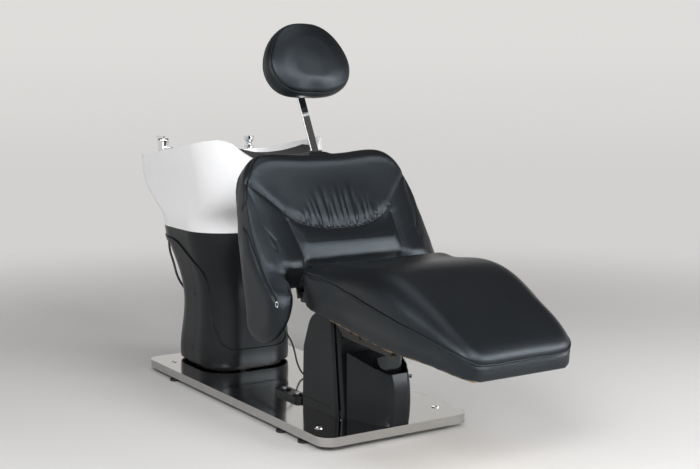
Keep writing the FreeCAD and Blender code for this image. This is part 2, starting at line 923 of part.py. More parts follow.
def pedestal_stand():
    piece = Piece("pedestal_stand")
    piece.pad(piece.outline("XY", S.plate_top).box(
        S.tower_x, 0, S.stand_foot_half_x, S.stand_foot_half_y, S.stand_foot_corner),
        S.stand_foot_thick)
    legs = piece.outline("XY", S.plate_top)
    for across in (-1, 1):
        for along in (-1, 1):
            x, y = S.tower_x + S.stand_leg_x * across, S.stand_leg_y * along
            legs.box(x, y, S.stand_leg / 2, S.stand_leg / 2)
    piece.pad(legs, S.tower_top - S.plate_top)
    deck = piece.outline("XY", S.basin_base - S.stand_plate_thick)
    deck.box(S.tower_x, 0, S.stand_plate_half_x, S.stand_plate_half_y, S.stand_plate_corner)
    piece.pad(deck, S.stand_plate_thick)
    window = piece.outline("XY", S.basin_base)
    window.box(S.tower_x, 0, S.stand_window_half, S.stand_window_half, S.stand_window_corner)
    piece.pocket(window, S.stand_plate_thick * 2)


def basin():
    piece = Piece("basin")
    outer = []
    rows = (
        (S.basin_base, S.tower_x, S.tower_top_half_x, S.tower_top_half_y, S.tower_top_corner,
         S.tower_top_corner),
        (S.basin_collar_z, S.tower_x, S.tower_top_half_x + S.plate_edge_round * 2,
         S.tower_top_half_y + S.plate_edge_round, S.tower_top_corner, S.tower_top_corner),
        (S.basin_belly_z, S.basin_belly_x, S.basin_belly_half_x, S.basin_belly_half_y,
         S.basin_belly_corner, S.basin_belly_front_round),
        (S.basin_rim_z, S.basin_rim_x, S.basin_rim_half_x, S.basin_rim_half_y, S.basin_rim_corner,
         S.basin_rim_front_round),
        (S.basin_top, S.basin_rim_x, S.basin_rim_half_x, S.basin_rim_half_y, S.basin_rim_corner,
         S.basin_rim_front_round),
    )
    for height, x, half_x, half_y, corner, front in rows:
        outer.append(piece.outline("XY", height).box(x, 0, half_x, half_y, corner, front))
    piece.loft(outer)
    rear = S.basin_rim_x - S.basin_rim_half_x - S.cut_overrun * 3
    front = S.basin_rim_x + S.basin_rim_half_x + S.cut_overrun * 3
    high = S.basin_top + S.cut_overrun * 3
    rim = piece.outline("XZ")
    rim.polygon([
        (rear, high), (rear, S.basin_rear_rim_z - S.cut_overrun / 2),
        (S.basin_horn_x, S.basin_horn_z, S.basin_horn_round),
        (S.basin_front_x, S.basin_front_z), (front, S.basin_front_z - S.cut_overrun), (front, high),
    ])
    piece.pocket(rim, S.basin_rim_half_y * 3, both=True)
    bowl = []
    rows = (
        (S.bowl_floor_z, S.bowl_floor_x, S.bowl_floor_half_x, S.bowl_floor_half_y,
         S.bowl_floor_corner),
        (S.bowl_side_z, S.bowl_x, S.bowl_side_half_x, S.bowl_side_half_y, S.bowl_rim_corner),
        (S.basin_rim_z, S.bowl_x, S.bowl_rim_half_x, S.bowl_rim_half_y, S.bowl_rim_corner),
        (S.basin_top, S.bowl_x, S.bowl_rim_half_x, S.bowl_rim_half_y, S.bowl_rim_corner),
    )
    for height, x, half_x, half_y, corner in rows:
        bowl.append(piece.outline("XY", height).box(x, 0, half_x, half_y, corner))
    piece.loft(bowl, "SubtractiveLoft")
    neck = piece.outline("YZ", S.neck_rear_x)
    neck.circle(0, S.neck_low_z + S.neck_radius, S.neck_radius)
    piece.pocket(neck, front - S.neck_rear_x, reverse=True)
    hollow = piece.outline("XY", S.basin_base)
    wall = S.collar_wall
    hollow.box(S.tower_x, 0, S.tower_top_half_x - wall, S.tower_top_half_y - wall,
               S.tower_top_corner - wall)
    piece.pocket(hollow, S.basin_collar_z - S.basin_base, reverse=True)
    drain = piece.outline("XY", S.basin_base)
    drain.circle(S.bowl_drain_x, 0, S.bowl_drain_radius)
    piece.pocket(drain, S.bowl_floor_z - S.basin_base + S.cut_overrun, reverse=True)
    for x, y in ((S.tap_x, S.tap_y), (S.shower_x, S.shower_y)):
        hole = piece.outline("XY", S.basin_belly_z)
        hole.circle(x, y, S.deck_tail_radius + S.plate_skin / 2)
        piece.pocket(hole, S.basin_top - S.basin_belly_z, reverse=True)
    socket = piece.outline("XY", S.basin_base)
    socket.circle(S.hose_x, S.hose_y, S.gland_radius)
    piece.pocket(socket, S.hose_top_z + S.gland_height - S.basin_base, reverse=True)
    return piece


def neck_cushion():
    """A crescent of soft rubber that lies in the neck recess."""
    low = number(S.neck_low_z + S.seat_gap)
    radius = number(S.neck_radius - S.seat_gap)
    half = number(S.neck_pad_half_y)
    thick = number(S.neck_pad_thick)
    rise = radius - math.sqrt(radius ** 2 - half ** 2)
    tip_rise = rise + thick * 0.15
    front, rear = number(S.neck_pad_front_x), number(S.neck_pad_rear_x)
    faces = []
    for x in (rear, front):
        under = arc((x, -half, low + rise), (x, 0, low), (x, half, low + rise))
        over = arc((x, half, low + tip_rise), (x, 0, low + thick), (x, -half, low + tip_rise))
        near = line((x, -half, low + tip_rise), (x, -half, low + rise))
        far = line((x, half, low + rise), (x, half, low + tip_rise))
        faces.append(Part.Wire([under, far, over, near]))
    shape = Part.makeLoft(faces, True, True)
    round_end = number(S.basin_rim_front_round + S.neck_pad_lip)
    centre = Vector(number(S.basin_rim_x + S.basin_rim_half_x - S.basin_rim_front_round), 0, 0)
    plan = Part.makeCylinder(round_end, number(S.basin_top), centre)
    return solid_piece("neck_cushion", shape.common(plan))


def rim_height(x):
    """Height of the basin's rim over a point of its length, in sizes."""
    rear = S.basin_rim_x - S.basin_rim_half_x - S.cut_overrun * 3
    low = S.basin_rear_rim_z - S.cut_overrun / 2
    return low + (S.basin_horn_z - low) * ((x - rear) / (S.basin_horn_x - rear))


def mixer_body():
    base = rim_height(S.tap_x + S.tap_foot_radius)
    piece = Piece("mixer_body", (S.tap_x, S.tap_y, base))
    piece.pad(piece.outline("XY").circle(0, 0, S.tap_foot_radius), S.tap_foot_height)
    piece.pad(piece.outline("XY").circle(0, 0, S.tap_body_radius), S.tap_body_height)
    spout = piece.outline("YZ")
    spout.circle(0, S.tap_body_height / 2, S.tap_spout_radius)
    piece.pad(spout, S.tap_spout_reach)
    tail = piece.outline("XY")
    tail.circle(0, 0, S.deck_tail_radius)
    piece.pad(tail, S.deck_tail_length, reverse=True)


def mixer_cap():
    base = rim_height(S.tap_x + S.tap_foot_radius)
    piece = Piece("mixer_cap", (S.tap_x, S.tap_y, base + S.tap_body_height + S.seat_gap))
    piece.pad(piece.outline("XY").circle(0, 0, S.tap_cap_radius), S.tap_cap_height)
    piece.round_edges(S.tap_cap_height * 0.4, level_edge_at(S.tap_cap_height))


def mixer_lever():
    base = rim_height(S.tap_x + S.tap_foot_radius)
    height = base + S.tap_body_height + S.tap_cap_height + S.seat_gap * 2
    piece = Piece("mixer_lever", (S.tap_x, S.tap_y, height))
    piece.pad(piece.outline("XY").circle(0, 0, S.tap_lever_radius * 1.6), S.tap_lever_height / 2)
    bar = piece.outline("XY")
    bar.box(-S.tap_lever_reach / 2, 0, S.tap_lever_reach / 2, S.tap_lever_radius,
            S.tap_lever_radius * 0.9)
    piece.pad(bar, S.tap_lever_height / 2)


def shower_socket():
    base = rim_height(S.shower_x + S.shower_socket_radius)
    piece = Piece("shower_socket", (S.shower_x, S.shower_y, base))
    piece.pad(piece.outline("XY").circle(0, 0, S.shower_socket_radius), S.shower_socket_height)
    tail = piece.outline("XY")
    tail.circle(0, 0, S.deck_tail_radius)
    bore = piece.outline("XY", S.shower_socket_height)
    bore.circle(0, 0, S.shower_socket_bore)
    piece.pocket(bore, S.shower_socket_height - S.plate_skin)
    piece.pad(tail, S.deck_tail_length, reverse=True)


def hand_shower():
    base = rim_height(S.shower_x + S.shower_socket_radius) + S.plate_skin + S.seat_gap
    piece = Piece("hand_shower", (S.shower_x, S.shower_y, base))
    grip = S.shower_handle_radius
    rise = S.shower_socket_height + S.shower_stand_height
    profile = piece.outline("XZ")
    profile.polygon([
        (0, 0), (grip, 0), (grip, S.shower_socket_height),
        (S.shower_handle_top_radius, rise), (S.shower_head_radius, rise + S.shower_head_height / 3),
        (S.shower_head_radius, rise + S.shower_head_height), (0, rise + S.shower_head_height),
    ])
    piece.revolve(profile)


def waste_fitting():
    piece = Piece("waste_fitting", (S.bowl_drain_x, 0, 0))
    top = S.bowl_floor_z
    profile = piece.outline("XZ")
    under = S.basin_collar_z - S.seat_gap
    profile.polygon([
        (S.waste_bore, S.waste_bottom), (S.waste_tube_radius, S.waste_bottom),
        (S.waste_tube_radius, under - S.waste_nut_height),
        (S.waste_nut_radius, under - S.waste_nut_height), (S.waste_nut_radius, under),
        (S.waste_tube_radius, under), (S.waste_tube_radius, top + S.seat_gap),
        (S.waste_flange_radius, top + S.seat_gap),
        (S.waste_flange_radius - S.plate_skin, top + S.waste_flange_height),
        (S.waste_bore, top + S.waste_flange_height),
    ])
    piece.revolve(profile)


def strainer():
    base = S.bowl_floor_z + S.waste_flange_height + S.seat_gap
    piece = Piece("strainer", (S.bowl_drain_x, 0, base))
    piece.pad(piece.outline("XY").circle(0, 0, S.strainer_radius), S.strainer_height)
    stem = piece.outline("XY")
    stem.circle(0, 0, S.strainer_stem_radius - S.seat_gap)
    piece.pad(stem, S.strainer_stem_length, reverse=True)
    slots = piece.outline("XY", S.strainer_height)
    count = int(SIZES["strainer_slots"])
    middle = (S.strainer_radius + S.strainer_stem_radius) / 2
    for step in range(count):
        angle = 360.0 * step / count
        slots.circle(middle * cosine(angle), middle * sine(angle), S.strainer_slot_width)
    piece.pocket(slots, S.strainer_height)
    piece.round_edges(S.strainer_height * 0.3, level_edge_at(S.strainer_height))


def bottle_trap():
    top = S.waste_bottom + S.cut_overrun
    piece = Piece("bottle_trap", (S.bowl_drain_x, 0, 0))
    bottom = top - S.trap_neck_height - S.trap_height
    bore = S.waste_tube_radius + S.seat_gap
    profile = piece.outline("XZ")
    profile.polygon([
        (0, bottom), (S.trap_radius, bottom), (S.trap_radius, top - S.trap_neck_height),
        (S.trap_neck_radius, top - S.trap_neck_height), (S.trap_neck_radius, top), (bore, top),
        (bore, S.waste_bottom - S.seat_gap), (S.waste_bore, S.waste_bottom - S.seat_gap),
        (S.waste_bore, bottom + S.plate_skin), (0, bottom + S.plate_skin),
    ])
    piece.revolve(profile)


def trap_outlet_z():
    return S.waste_bottom + S.cut_overrun - S.trap_neck_height - S.trap_height / 4


def waste_pipe():
    """Runs sideways out of the trap, then down through the foot of the stand."""
    radius = number(S.waste_pipe_radius)
    inner = radius - number(S.waste_pipe_wall)
    high = number(trap_outlet_z())
    reach = number(S.trap_radius + S.seat_gap)
    bend = number(S.waste_pipe_reach) - reach
    low = number(S.plate_top + S.stand_foot_thick + S.seat_gap)
    path = Part.Wire([
        line((reach, 0, high), (reach + bend * 0.2, 0, high)),
        arc((reach + bend * 0.2, 0, high),
            (reach + bend * (0.2 + 0.8 * math.sin(math.radians(45))), 0,
             high - bend * 0.8 * (1 - math.cos(math.radians(45)))),
            (reach + bend, 0, high - bend * 0.8)),
        line((reach + bend, 0, high - bend * 0.8), (reach + bend, 0, low)),
    ])
    shapes = []
    for size in (radius, inner):
        ring = Part.Wire([Part.makeCircle(size, Vector(reach, 0, high), Vector(1, 0, 0))])
        shapes.append(path.makePipeShell([ring], True, False))
    return solid_piece("waste_pipe", shapes[0].cut(shapes[1]), (S.bowl_drain_x, 0, 0))


def supply_valves():
    """Two angle valves on the rear legs of the stand."""
    piece = Piece("supply_valves")
    bodies = piece.outline("YZ", S.valve_x)
    spouts = piece.outline("XY", S.valve_z)
    for side in (-1, 1):
        bodies.circle(S.valve_y / 2 * side, S.valve_z, S.valve_radius)
        spouts.circle(S.valve_x + S.valve_length / 2, S.valve_y / 2 * side, S.valve_radius * 0.7)
    piece.pad(bodies, S.valve_length)
    piece.pad(spouts, S.valve_length * 0.8)
    feet = piece.outline("XY", S.plate_top + S.stand_foot_thick)
    for side in (-1, 1):
        feet.circle(S.valve_x + S.valve_length / 2, S.valve_y / 2 * side, S.valve_radius * 0.6)
    piece.pad(feet, S.valve_z - S.plate_top - S.stand_foot_thick)


def rounded_path(points):
    """Straight runs joined by tangent arcs, each arc as large as its two runs allow."""
    spots = [Vector(*point) for point in points]
    edges = []
    start = spots[0]
    tightest = None
    for before, here, after in zip(spots, spots[1:], spots[2:]):
        back, ahead = before - here, after - here
        shorter = min(back.Length, ahead.Length)
        back.normalize()
        ahead.normalize()
        turn = math.pi - back.getAngle(ahead)
        run = shorter * RUN_SHARE
        radius = run / math.tan(turn / 2)
        tightest = radius if tightest is None else min(tightest, radius)
        middle = (back + ahead).normalize()
        centre = here + middle * (radius / math.cos(turn / 2))
        first, last = here + back * run, here + ahead * run
        edges.append(Part.LineSegment(start, first).toShape())
        edges.append(Part.Arc(first, centre - middle * radius, last).toShape())
        start = last
    edges.append(Part.LineSegment(start, spots[-1]).toShape())
    return Part.Wire(edges), tightest


RUN_SHARE = 0.45


def tube_along(points, radius):
    path, tightest = rounded_path(points)
    first, second = Vector(*points[0]), Vector(*points[1])
    ring = Part.Wire([Part.makeCircle(radius, first, second - first)])
    shape = path.makePipeShell([ring], True, False)
    expected = path.Length * math.pi * radius ** 2
    print("tube: length %.1f, least radius %.1f, volume share %.4f" % (
        path.Length, tightest, shape.Volume / expected))
    return shape


# Route of the shower hose, from the basin's underside down into the rear cover.
HOSE_ROUTE = (
    (-690.0, -146.0, 606.0),
    (-690.0, -146.0, 558.0),
    (-690.0, -156.0, 500.0),
    (-683.0, -158.0, 446.0),
    (-668.0, -147.0, 396.0),
    (-655.0, -141.0, 346.0),
    (-654.0, -112.0, 296.0),
    (-624.0, -97.0, 272.0),
)

# Route of the power lead, from the pedestal's front down to the plate and into the column.
LEAD_ROUTE = (
    (-272.9, 62.0, 212.0),
    (-232.0, 62.0, 212.0),
    (-185.0, 60.0, 200.0),
    (-150.0, 58.0, 182.0),
    (-122.0, 58.0, 162.0),
    (-104.0, 60.0, 128.0),
    (-96.0, 64.0, 88.0),
    (-70.0, 70.0, 52.0),
    (-20.0, 76.0, 49.5),
    (40.0, 76.0, 49.5),
    (100.0, 72.0, 52.0),
    (160.0, 70.0, 62.0),
    (221.0, 70.0, 62.0),
)


def shower_hose():
    return solid_piece("shower_hose", tube_along(HOSE_ROUTE, number(S.hose_radius)))


def power_lead():
    return solid_piece("power_lead", tube_along(LEAD_ROUTE, number(S.lead_radius)))


def gland(start, toward, bore, radius, length):
    """A flanged ring round a cord's exit, square to the cord."""
    first = Vector(*start)
    away = (Vector(*toward) - first).normalize()
    foot = first - away * length
    outer = Part.makeCylinder(radius, length, foot, away)
    tip = Part.makeCone(radius * 0.9, bore * 1.5, length, first, away)
    hole = Part.makeCylinder(bore, length * 4, foot - away * length, away)
    return outer.fuse(tip).cut(hole)


def cord_glands():
    bore = number(S.hose_radius)
    radius, length = number(S.gland_radius), number(S.gland_height)
    upper = gland(HOSE_ROUTE[0], HOSE_ROUTE[1], bore, radius, length)
    lower = gland(HOSE_ROUTE[-1], HOSE_ROUTE[-2], bore, radius, length)
    solid_piece("hose_glands", Part.makeCompound([upper, lower]))
    bore = number(S.lead_radius)
    radius = number(S.gland_radius) * 0.7
    front = gland(LEAD_ROUTE[0], LEAD_ROUTE[1], bore, radius, length)
    rear = gland(LEAD_ROUTE[-1], LEAD_ROUTE[-2], bore, radius, length)
    solid_piece("lead_glands", Part.makeCompound([front, rear]))


def column_profile(shrink):
    rear, front = S.column_rear_x + shrink, S.column_front_x - shrink
    return [
        (rear, S.plate_top), (front, S.plate_top),
        (S.column_front_top_x - shrink, S.column_top - shrink),
        (S.column_peak_x, S.column_top - shrink),
        (S.column_crown_x + shrink * 0.6, S.column_crown_z - shrink * 0.8),
        (S.column_brow_x + shrink * 0.8, S.column_brow_z - shrink * 0.5),
        (S.column_shoulder_x + shrink, S.column_shoulder_z),
    ]


def column_housing():
    piece = Piece("column_housing")
    piece.pad(piece.outline("XZ").polygon(column_profile(0)), S.column_half_y * 2, both=True)
    doc.recompute()
    piece.round_edges(S.column_corner, side_upright)
    wall = S.column_wall
    inner = piece.outline("XZ").polygon(column_profile(wall))
    piece.pocket(inner, (S.column_half_y - wall) * 2, both=True)
    mouth = piece.outline("XY", S.column_top + S.cut_overrun)
    mouth_half = (S.column_front_x + S.cut_overrun - S.column_mouth_rear_x) / 2
    mouth.box(S.column_mouth_rear_x + mouth_half, 0, mouth_half, S.column_mouth_half_y)
    piece.pocket(mouth, S.column_top + S.cut_overrun - S.column_mouth_z)
    for side in (-1, 1):
        crease = piece.outline("XZ", S.column_half_y * side)
        crease.polygon([
            (S.column_crease_rear_x, S.column_crease_high_z),
            (S.column_crease_front_x, S.column_crease_low_z),
            (S.column_crease_front_x, S.plate_top + S.column_corner),
            (S.column_crease_rear_x, S.plate_top + S.column_corner),
        ])
        piece.pocket(crease, S.column_crease_depth, reverse=side < 0)


def side_upright(edge):
    """The housing's four corner edges, which run up its front and rear."""
    if not isinstance(edge.Curve, Part.Line):
        return False
    box = edge.BoundBox
    side = abs(abs(box.YMin) - number(S.column_half_y)) < 0.1 and box.YLength < 0.1
    return side and box.ZLength > box.XLength * 1.2


def column_post():
    piece = Piece("column_post")
    foot_half = (S.post_foot_front_x - S.post_foot_rear_x) / 2
    foot_x = S.post_foot_rear_x + foot_half
    piece.pad(piece.outline("XY", S.plate_top).box(foot_x, 0, foot_half, S.post_foot_half_y),
              S.post_foot_thick)
    half_x = (S.post_front_x - S.post_rear_x) / 2
    tube = piece.outline("XY", S.plate_top)
    tube.box(S.post_rear_x + half_x, 0, half_x, S.post_half_y, S.ear_thick)
    piece.pad(tube, S.post_top - S.plate_top)
    outer = S.ear_inner_y + S.ear_thick
    ears = piece.outline("XZ")
    ears.polygon([
        (S.pivot_x - S.ear_radius, S.post_top - S.ear_thick * 2),
        (S.pivot_x + S.ear_radius, S.post_top - S.ear_thick * 2),
        (S.pivot_x + S.ear_radius, S.pivot_z + S.ear_radius, S.ear_radius * 0.9),
        (S.pivot_x - S.ear_radius, S.pivot_z + S.ear_radius, S.ear_radius * 0.9),
    ])
    piece.pad(ears, outer * 2, both=True)
    gap = piece.outline("XZ")
    gap.polygon([
        (S.pivot_x - S.ear_radius * 2, S.post_top), (S.pivot_x + S.ear_radius * 2, S.post_top),
        (S.pivot_x + S.ear_radius * 2, S.pivot_z + S.ear_radius * 2),
        (S.pivot_x - S.ear_radius * 2, S.pivot_z + S.ear_radius * 2),
    ])
    piece.pocket(gap, S.ear_inner_y * 2, both=True)
    hole = piece.outline("XZ").circle(S.pivot_x, S.pivot_z, S.pivot_hole)
    piece.pocket(hole, outer * 3, both=True)


def tilt_pin():
    piece = Piece("tilt_pin", (S.pivot_x, 0, S.pivot_z))
    piece.pad(piece.outline("XZ").circle(0, 0, S.pivot_hole - S.pin_clearance),
              S.pivot_pin_half * 2, both=True)


def column_bolts():
    piece = Piece("column_bolts")
    heads = piece.outline("XY", S.plate_top + S.post_foot_thick)
    shanks = piece.outline("XY", S.plate_top + S.post_foot_thick)
    for x in (S.post_foot_rear_x + S.bolt_inset, S.post_foot_front_x - S.bolt_inset):
        for side in (-1, 1):
            heads.circle(x, (S.post_foot_half_y - S.bolt_inset) * side, S.bolt_head_radius)
    piece.pad(heads, S.bolt_head_height)


def nose_rings(piece, shrink):
    rows = (
        (S.plate_top, S.nose_base_front_x), (S.nose_belly_z, S.nose_front_x),
        (S.nose_top, S.nose_top_front_x),
    )
    rings = []
    for height, front in rows:
        ring = piece.outline("XY", height)
        rear_y, side_y = S.nose_rear_half_y - shrink, S.nose_side_half_y - shrink
        rear_x = S.nose_rear_x + shrink
        ring.polygon([
            (rear_x, -rear_y), (S.nose_side_x - shrink, -side_y, S.nose_corner),
            (front - shrink, -side_y * 0.62, S.nose_corner * 0.7),
            (front - shrink, side_y * 0.62, S.nose_corner * 0.7),
            (S.nose_side_x - shrink, side_y, S.nose_corner), (rear_x, rear_y),
        ])
        rings.append(ring)
    return rings


def actuator_cover():
    piece = Piece("actuator_cover")
    piece.loft(nose_rings(piece, 0))
    piece.loft(nose_rings(piece, S.nose_wall), "SubtractiveLoft")
    slope = piece.outline("XZ")
    front = S.nose_front_x + S.cut_overrun
    slope.polygon([
        (S.nose_rear_x - S.cut_overrun, S.nose_top + S.cut_overrun),
        (S.nose_rear_x - S.cut_overrun, S.nose_top - S.nose_wall),
        (S.nose_rear_x + S.nose_wall, S.nose_top - S.nose_wall),
        (front, S.nose_top_front_z - S.nose_wall * 2), (front, S.nose_top + S.cut_overrun),
    ])
    piece.pocket(slope, S.nose_rear_half_y * 3, both=True)


def cover_collar():
    """The curved lip that guards the actuator where it leaves its cover."""
    piece = Piece("cover_collar")
    front, rear, half = S.collar_front_x, S.collar_rear_x, S.collar_half_y
    thick = S.collar_thick
    bend = half * 0.55
    piece.loft(nose_rings(piece, S.nose_wall + S.seat_gap))
    above = piece.outline("XY", S.collar_bottom + S.collar_thick)
    reach = S.nose_front_x
    above.box(reach, 0, reach, reach)
    piece.pocket(above, reach, reverse=True)
    below = piece.outline("XY", S.collar_bottom)
    below.box(reach, 0, reach, reach)
    piece.pocket(below, reach)
    away = piece.outline("XY", S.collar_bottom)
    away.box(rear / 2, 0, rear / 2, reach)
    piece.pocket(away, reach, reverse=True)
    lip = piece.outline("XY", S.collar_bottom)
    lip.polygon([(rear, -half), (front, -half, bend), (front, half, bend), (rear, half)])
    piece.pad(lip, S.collar_top - S.collar_bottom)
    inner = half - thick
    hollow = piece.outline("XY", S.collar_top)
    hollow.polygon([(rear - thick, -inner), (front - thick, -inner, bend - thick),
                    (front - thick, inner, bend - thick), (rear - thick, inner)])
    piece.pocket(hollow, S.collar_top - S.collar_bottom)
    slope = piece.outline("XZ")
    slope.polygon([
        (rear - thick, S.collar_top + thick), (rear - thick, S.collar_top - half * 0.6),
        (front + thick, S.collar_top - thick / 2), (front + thick, S.collar_top + thick),
    ])
    piece.pocket(slope, half * 3, both=True)


def actuator_line():
    """Angle of the actuator from upright, and its length, at rest."""
    run = number(S.actuator_top_x - S.actuator_foot_x)
    rise = number(S.actuator_top_z - S.actuator_foot_z)
    return math.degrees(math.atan2(run, rise)), math.hypot(run, rise)


def actuator_mount():
    """The clevis on the plate that holds the actuator's foot."""
    piece = Piece("actuator_mount")
    outer = S.foot_clevis_gap / 2 + S.foot_clevis_ear
    piece.pad(piece.outline("XY", S.plate_top).box(
        S.actuator_foot_x, 0, S.foot_clevis_half_x * 1.6, outer * 1.6), S.foot_clevis_base)
    ears = piece.outline("XZ").polygon([
        (S.actuator_foot_x - S.foot_clevis_half_x, S.plate_top),
        (S.actuator_foot_x + S.foot_clevis_half_x, S.plate_top),
        (S.actuator_foot_x + S.foot_clevis_half_x, S.foot_clevis_top, S.foot_clevis_half_x * 0.8),
        (S.actuator_foot_x - S.foot_clevis_half_x, S.foot_clevis_top, S.foot_clevis_half_x * 0.8),
    ])
    piece.pad(ears, outer * 2, both=True)
    slot = piece.outline("XZ", 0).polygon([
        (S.actuator_foot_x - S.foot_clevis_half_x * 2, S.plate_top + S.foot_clevis_base),
        (S.actuator_foot_x + S.foot_clevis_half_x * 2, S.plate_top + S.foot_clevis_base),
        (S.actuator_foot_x + S.foot_clevis_half_x * 2, S.foot_clevis_top + S.foot_clevis_half_x),
        (S.actuator_foot_x - S.foot_clevis_half_x * 2, S.foot_clevis_top + S.foot_clevis_half_x),
    ])
    piece.pocket(slot, S.foot_clevis_gap, both=True)
    hole = piece.outline("XZ").circle(S.actuator_foot_x, S.actuator_foot_z, S.actuator_pin_radius)
    piece.pocket(hole, outer * 3, both=True)


def actuator_foot_pin():
    piece = Piece("actuator_foot_pin", (S.actuator_foot_x, 0, S.actuator_foot_z))
    half = S.foot_clevis_gap / 2 + S.foot_clevis_ear * 1.5
    piece.pad(piece.outline("XZ").circle(0, 0, S.actuator_pin_radius), half * 2, both=True)


def actuator_body():
    lean, length = actuator_line()
    piece = Piece("actuator_body", (S.actuator_foot_x, 0, S.actuator_foot_z), -lean)
    neck = S.actuator_neck
    piece.pad(piece.outline("XZ").circle(0, 0, S.actuator_eye_radius), S.actuator_eye_thick, both=True)
    piece.pad(piece.outline("XY").box(0, 0, S.actuator_eye_radius * 0.8, S.actuator_eye_thick / 2), neck)
    piece.pad(piece.outline("XY", neck).circle(0, 0, S.actuator_radius), S.actuator_length - neck)
    motor = piece.outline("XY", neck * 1.3)
    motor.circle(S.actuator_motor_offset, 0, S.actuator_motor_radius)
    piece.pad(motor, S.actuator_motor_length)
    web = piece.outline("XY", neck * 1.3)
    web.box(S.actuator_motor_offset / 2, 0, S.actuator_motor_offset / 2, S.actuator_radius * 0.8)
    piece.pad(web, S.actuator_motor_length * 0.45)
    bore = piece.outline("XY", S.actuator_length).circle(0, 0, S.rod_bore)
    piece.pocket(bore, S.rod_depth)
    eye = piece.outline("XZ").circle(0, 0, S.actuator_pin_radius + S.pin_clearance)
    piece.pocket(eye, S.actuator_eye_thick * 2, both=True)


def actuator_rod():
    lean, length = actuator_line()
    piece = Piece("actuator_rod", (S.actuator_top_x, 0, S.actuator_top_z), -lean)
    low = S.rod_depth - S.cut_overrun / 2
    reach = length - S.actuator_length + low
    rod = piece.outline("XY").circle(0, 0, S.rod_radius)
    piece.pad(rod, reach, reverse=True)
    piece.pad(piece.outline("XZ").circle(0, 0, S.rod_eye_radius), S.rod_eye_thick, both=True)
    piece.pocket(piece.outline("XZ").circle(0, 0, S.rod_eye_bore), S.rod_eye_thick * 2, both=True)


def actuator_top_pin():
    piece = Piece("actuator_top_pin", (S.actuator_top_x, 0, S.actuator_top_z))
    half = S.clevis_gap / 2 + S.clevis_ear_thick * 1.5
    piece.pad(piece.outline("XZ").circle(0, 0, S.actuator_pin_radius), half * 2, both=True)


def foot_switch():
    half_x = (S.switch_front_x - S.switch_rear_x) / 2
    top = S.plate_top + S.switch_height
    piece = Piece("foot_switch_housing")
    body = piece.outline("XY", S.plate_top)
    body.box(S.switch_rear_x + half_x, S.switch_y, half_x, S.switch_half_y, S.switch_corner)
    piece.pad(body, S.switch_height)
    rings = piece.outline("XY", S.plate_top)
    wells = piece.outline("XY", top + S.switch_ring_height)
    for step in (0, 1):
        x = S.switch_button_x + S.switch_button_pitch * step
        rings.circle(x, S.switch_y, S.switch_ring_radius)
        wells.circle(x, S.switch_y, S.switch_well_radius)
    piece.pad(rings, S.switch_height + S.switch_ring_height)
    piece.pocket(wells, S.switch_ring_height + S.switch_button_depth + S.switch_button_travel)
    floor = top - S.switch_button_depth + S.switch_button_travel * 0
    for step, name in enumerate(("foot_button_up", "foot_button_down")):
        x = S.switch_button_x + S.switch_button_pitch * step
        button = Piece(name, (x, S.switch_y, floor))
        height = S.switch_button_depth + S.switch_ring_height + S.switch_button_rise
        button.pad(button.outline("XY").circle(0, 0, S.switch_button_radius), height)
        button.round_edges(S.switch_button_rise * 0.5, level_edge_at(height))


def release_lever():
    base = S.column_half_y
    mount = Piece("lever_bracket", (S.lever_x, base, S.lever_z))
    boss = mount.outline("XZ", -S.lever_boss_length)
    boss.box(0, 0, S.lever_boss_radius, S.lever_boss_radius, S.lever_pin_radius)
    mount.pad(boss, S.lever_boss_length)
    slot = mount.outline("YZ")
    slot.box(S.lever_boss_length, 0, S.lever_boss_length * 0.8, S.lever_boss_radius * 2)
    mount.pocket(slot, S.lever_arm_width + S.seat_gap * 2, both=True)
    pin_y = S.lever_boss_length * 0.65
    hole = mount.outline("YZ").circle(pin_y, 0, S.lever_pin_radius)
    mount.pad(hole, S.lever_boss_radius * 2, both=True)
    arm = Piece("release_lever", (S.lever_x, base + pin_y, S.lever_z))
    hub = arm.outline("YZ").circle(0, 0, S.lever_pin_radius + S.plate_skin * 0.8)
    arm.pad(hub, S.lever_arm_width, both=True)
    half = S.lever_arm_width / 2
    clear = S.lever_boss_length * 0.42
    bar = arm.outline("XY", -S.lever_arm_thick / 2).polygon([
        (-half, 0), (half, 0), (half, clear), (S.lever_pad_shift + half, S.lever_arm_reach),
        (S.lever_pad_shift - half, S.lever_arm_reach), (-half, clear),
    ])
    arm.pad(bar, S.lever_arm_thick)
    pad = arm.outline("XY", -S.lever_arm_thick / 2)
    pad.circle(S.lever_pad_shift, S.lever_arm_reach, S.lever_pad_radius)
    arm.pad(pad, S.lever_pad_thick)
    arm.pocket(arm.outline("YZ").circle(0, 0, S.lever_pin_radius + S.pin_clearance),
               S.lever_arm_width * 2, both=True)


def seat_row(row):
    """Place, half width, piping, crown and underside of one section of the seat cushion."""
    share, half, fall, crown, under = row
    x = S.seat_rear_x + (S.seat_foot_x - S.seat_rear_x) * share
    return (x, S.seat_half_y * half, S.seat_piping_z - S.seat_foot_drop * fall,
            S.seat_knee_rise * crown, S.seat_underside_z - S.seat_foot_drop * under)


def ring_through(corners):
    ends = corners[1:] + corners[:1]
    return Part.Wire([line(first, last) for first, last in zip(corners, ends)])


def long_seat_rows():
    """The sections of the seat cushion, with one more past each end."""
    rows = [[number(item) for item in seat_row(row)] for row in SEAT_STATION_SHARES]
    over = number(S.cut_overrun)
    return [[rows[0][0] - over] + rows[0][1:]] + rows + [[rows[-1][0] + over] + rows[-1][1:]]


def below_seat(drop):
    """Everything that lies a drop under the seat board's upper face, from end to end."""
    wide = number(S.seat_half_y) * 2
    wires = []
    for x, _, _, _, under in long_seat_rows():
        low = under - drop
        wires.append(ring_through([(x, -wide, 0), (x, wide, 0), (x, wide, low), (x, -wide, low)]))
    return Part.makeLoft(wires, True, True)


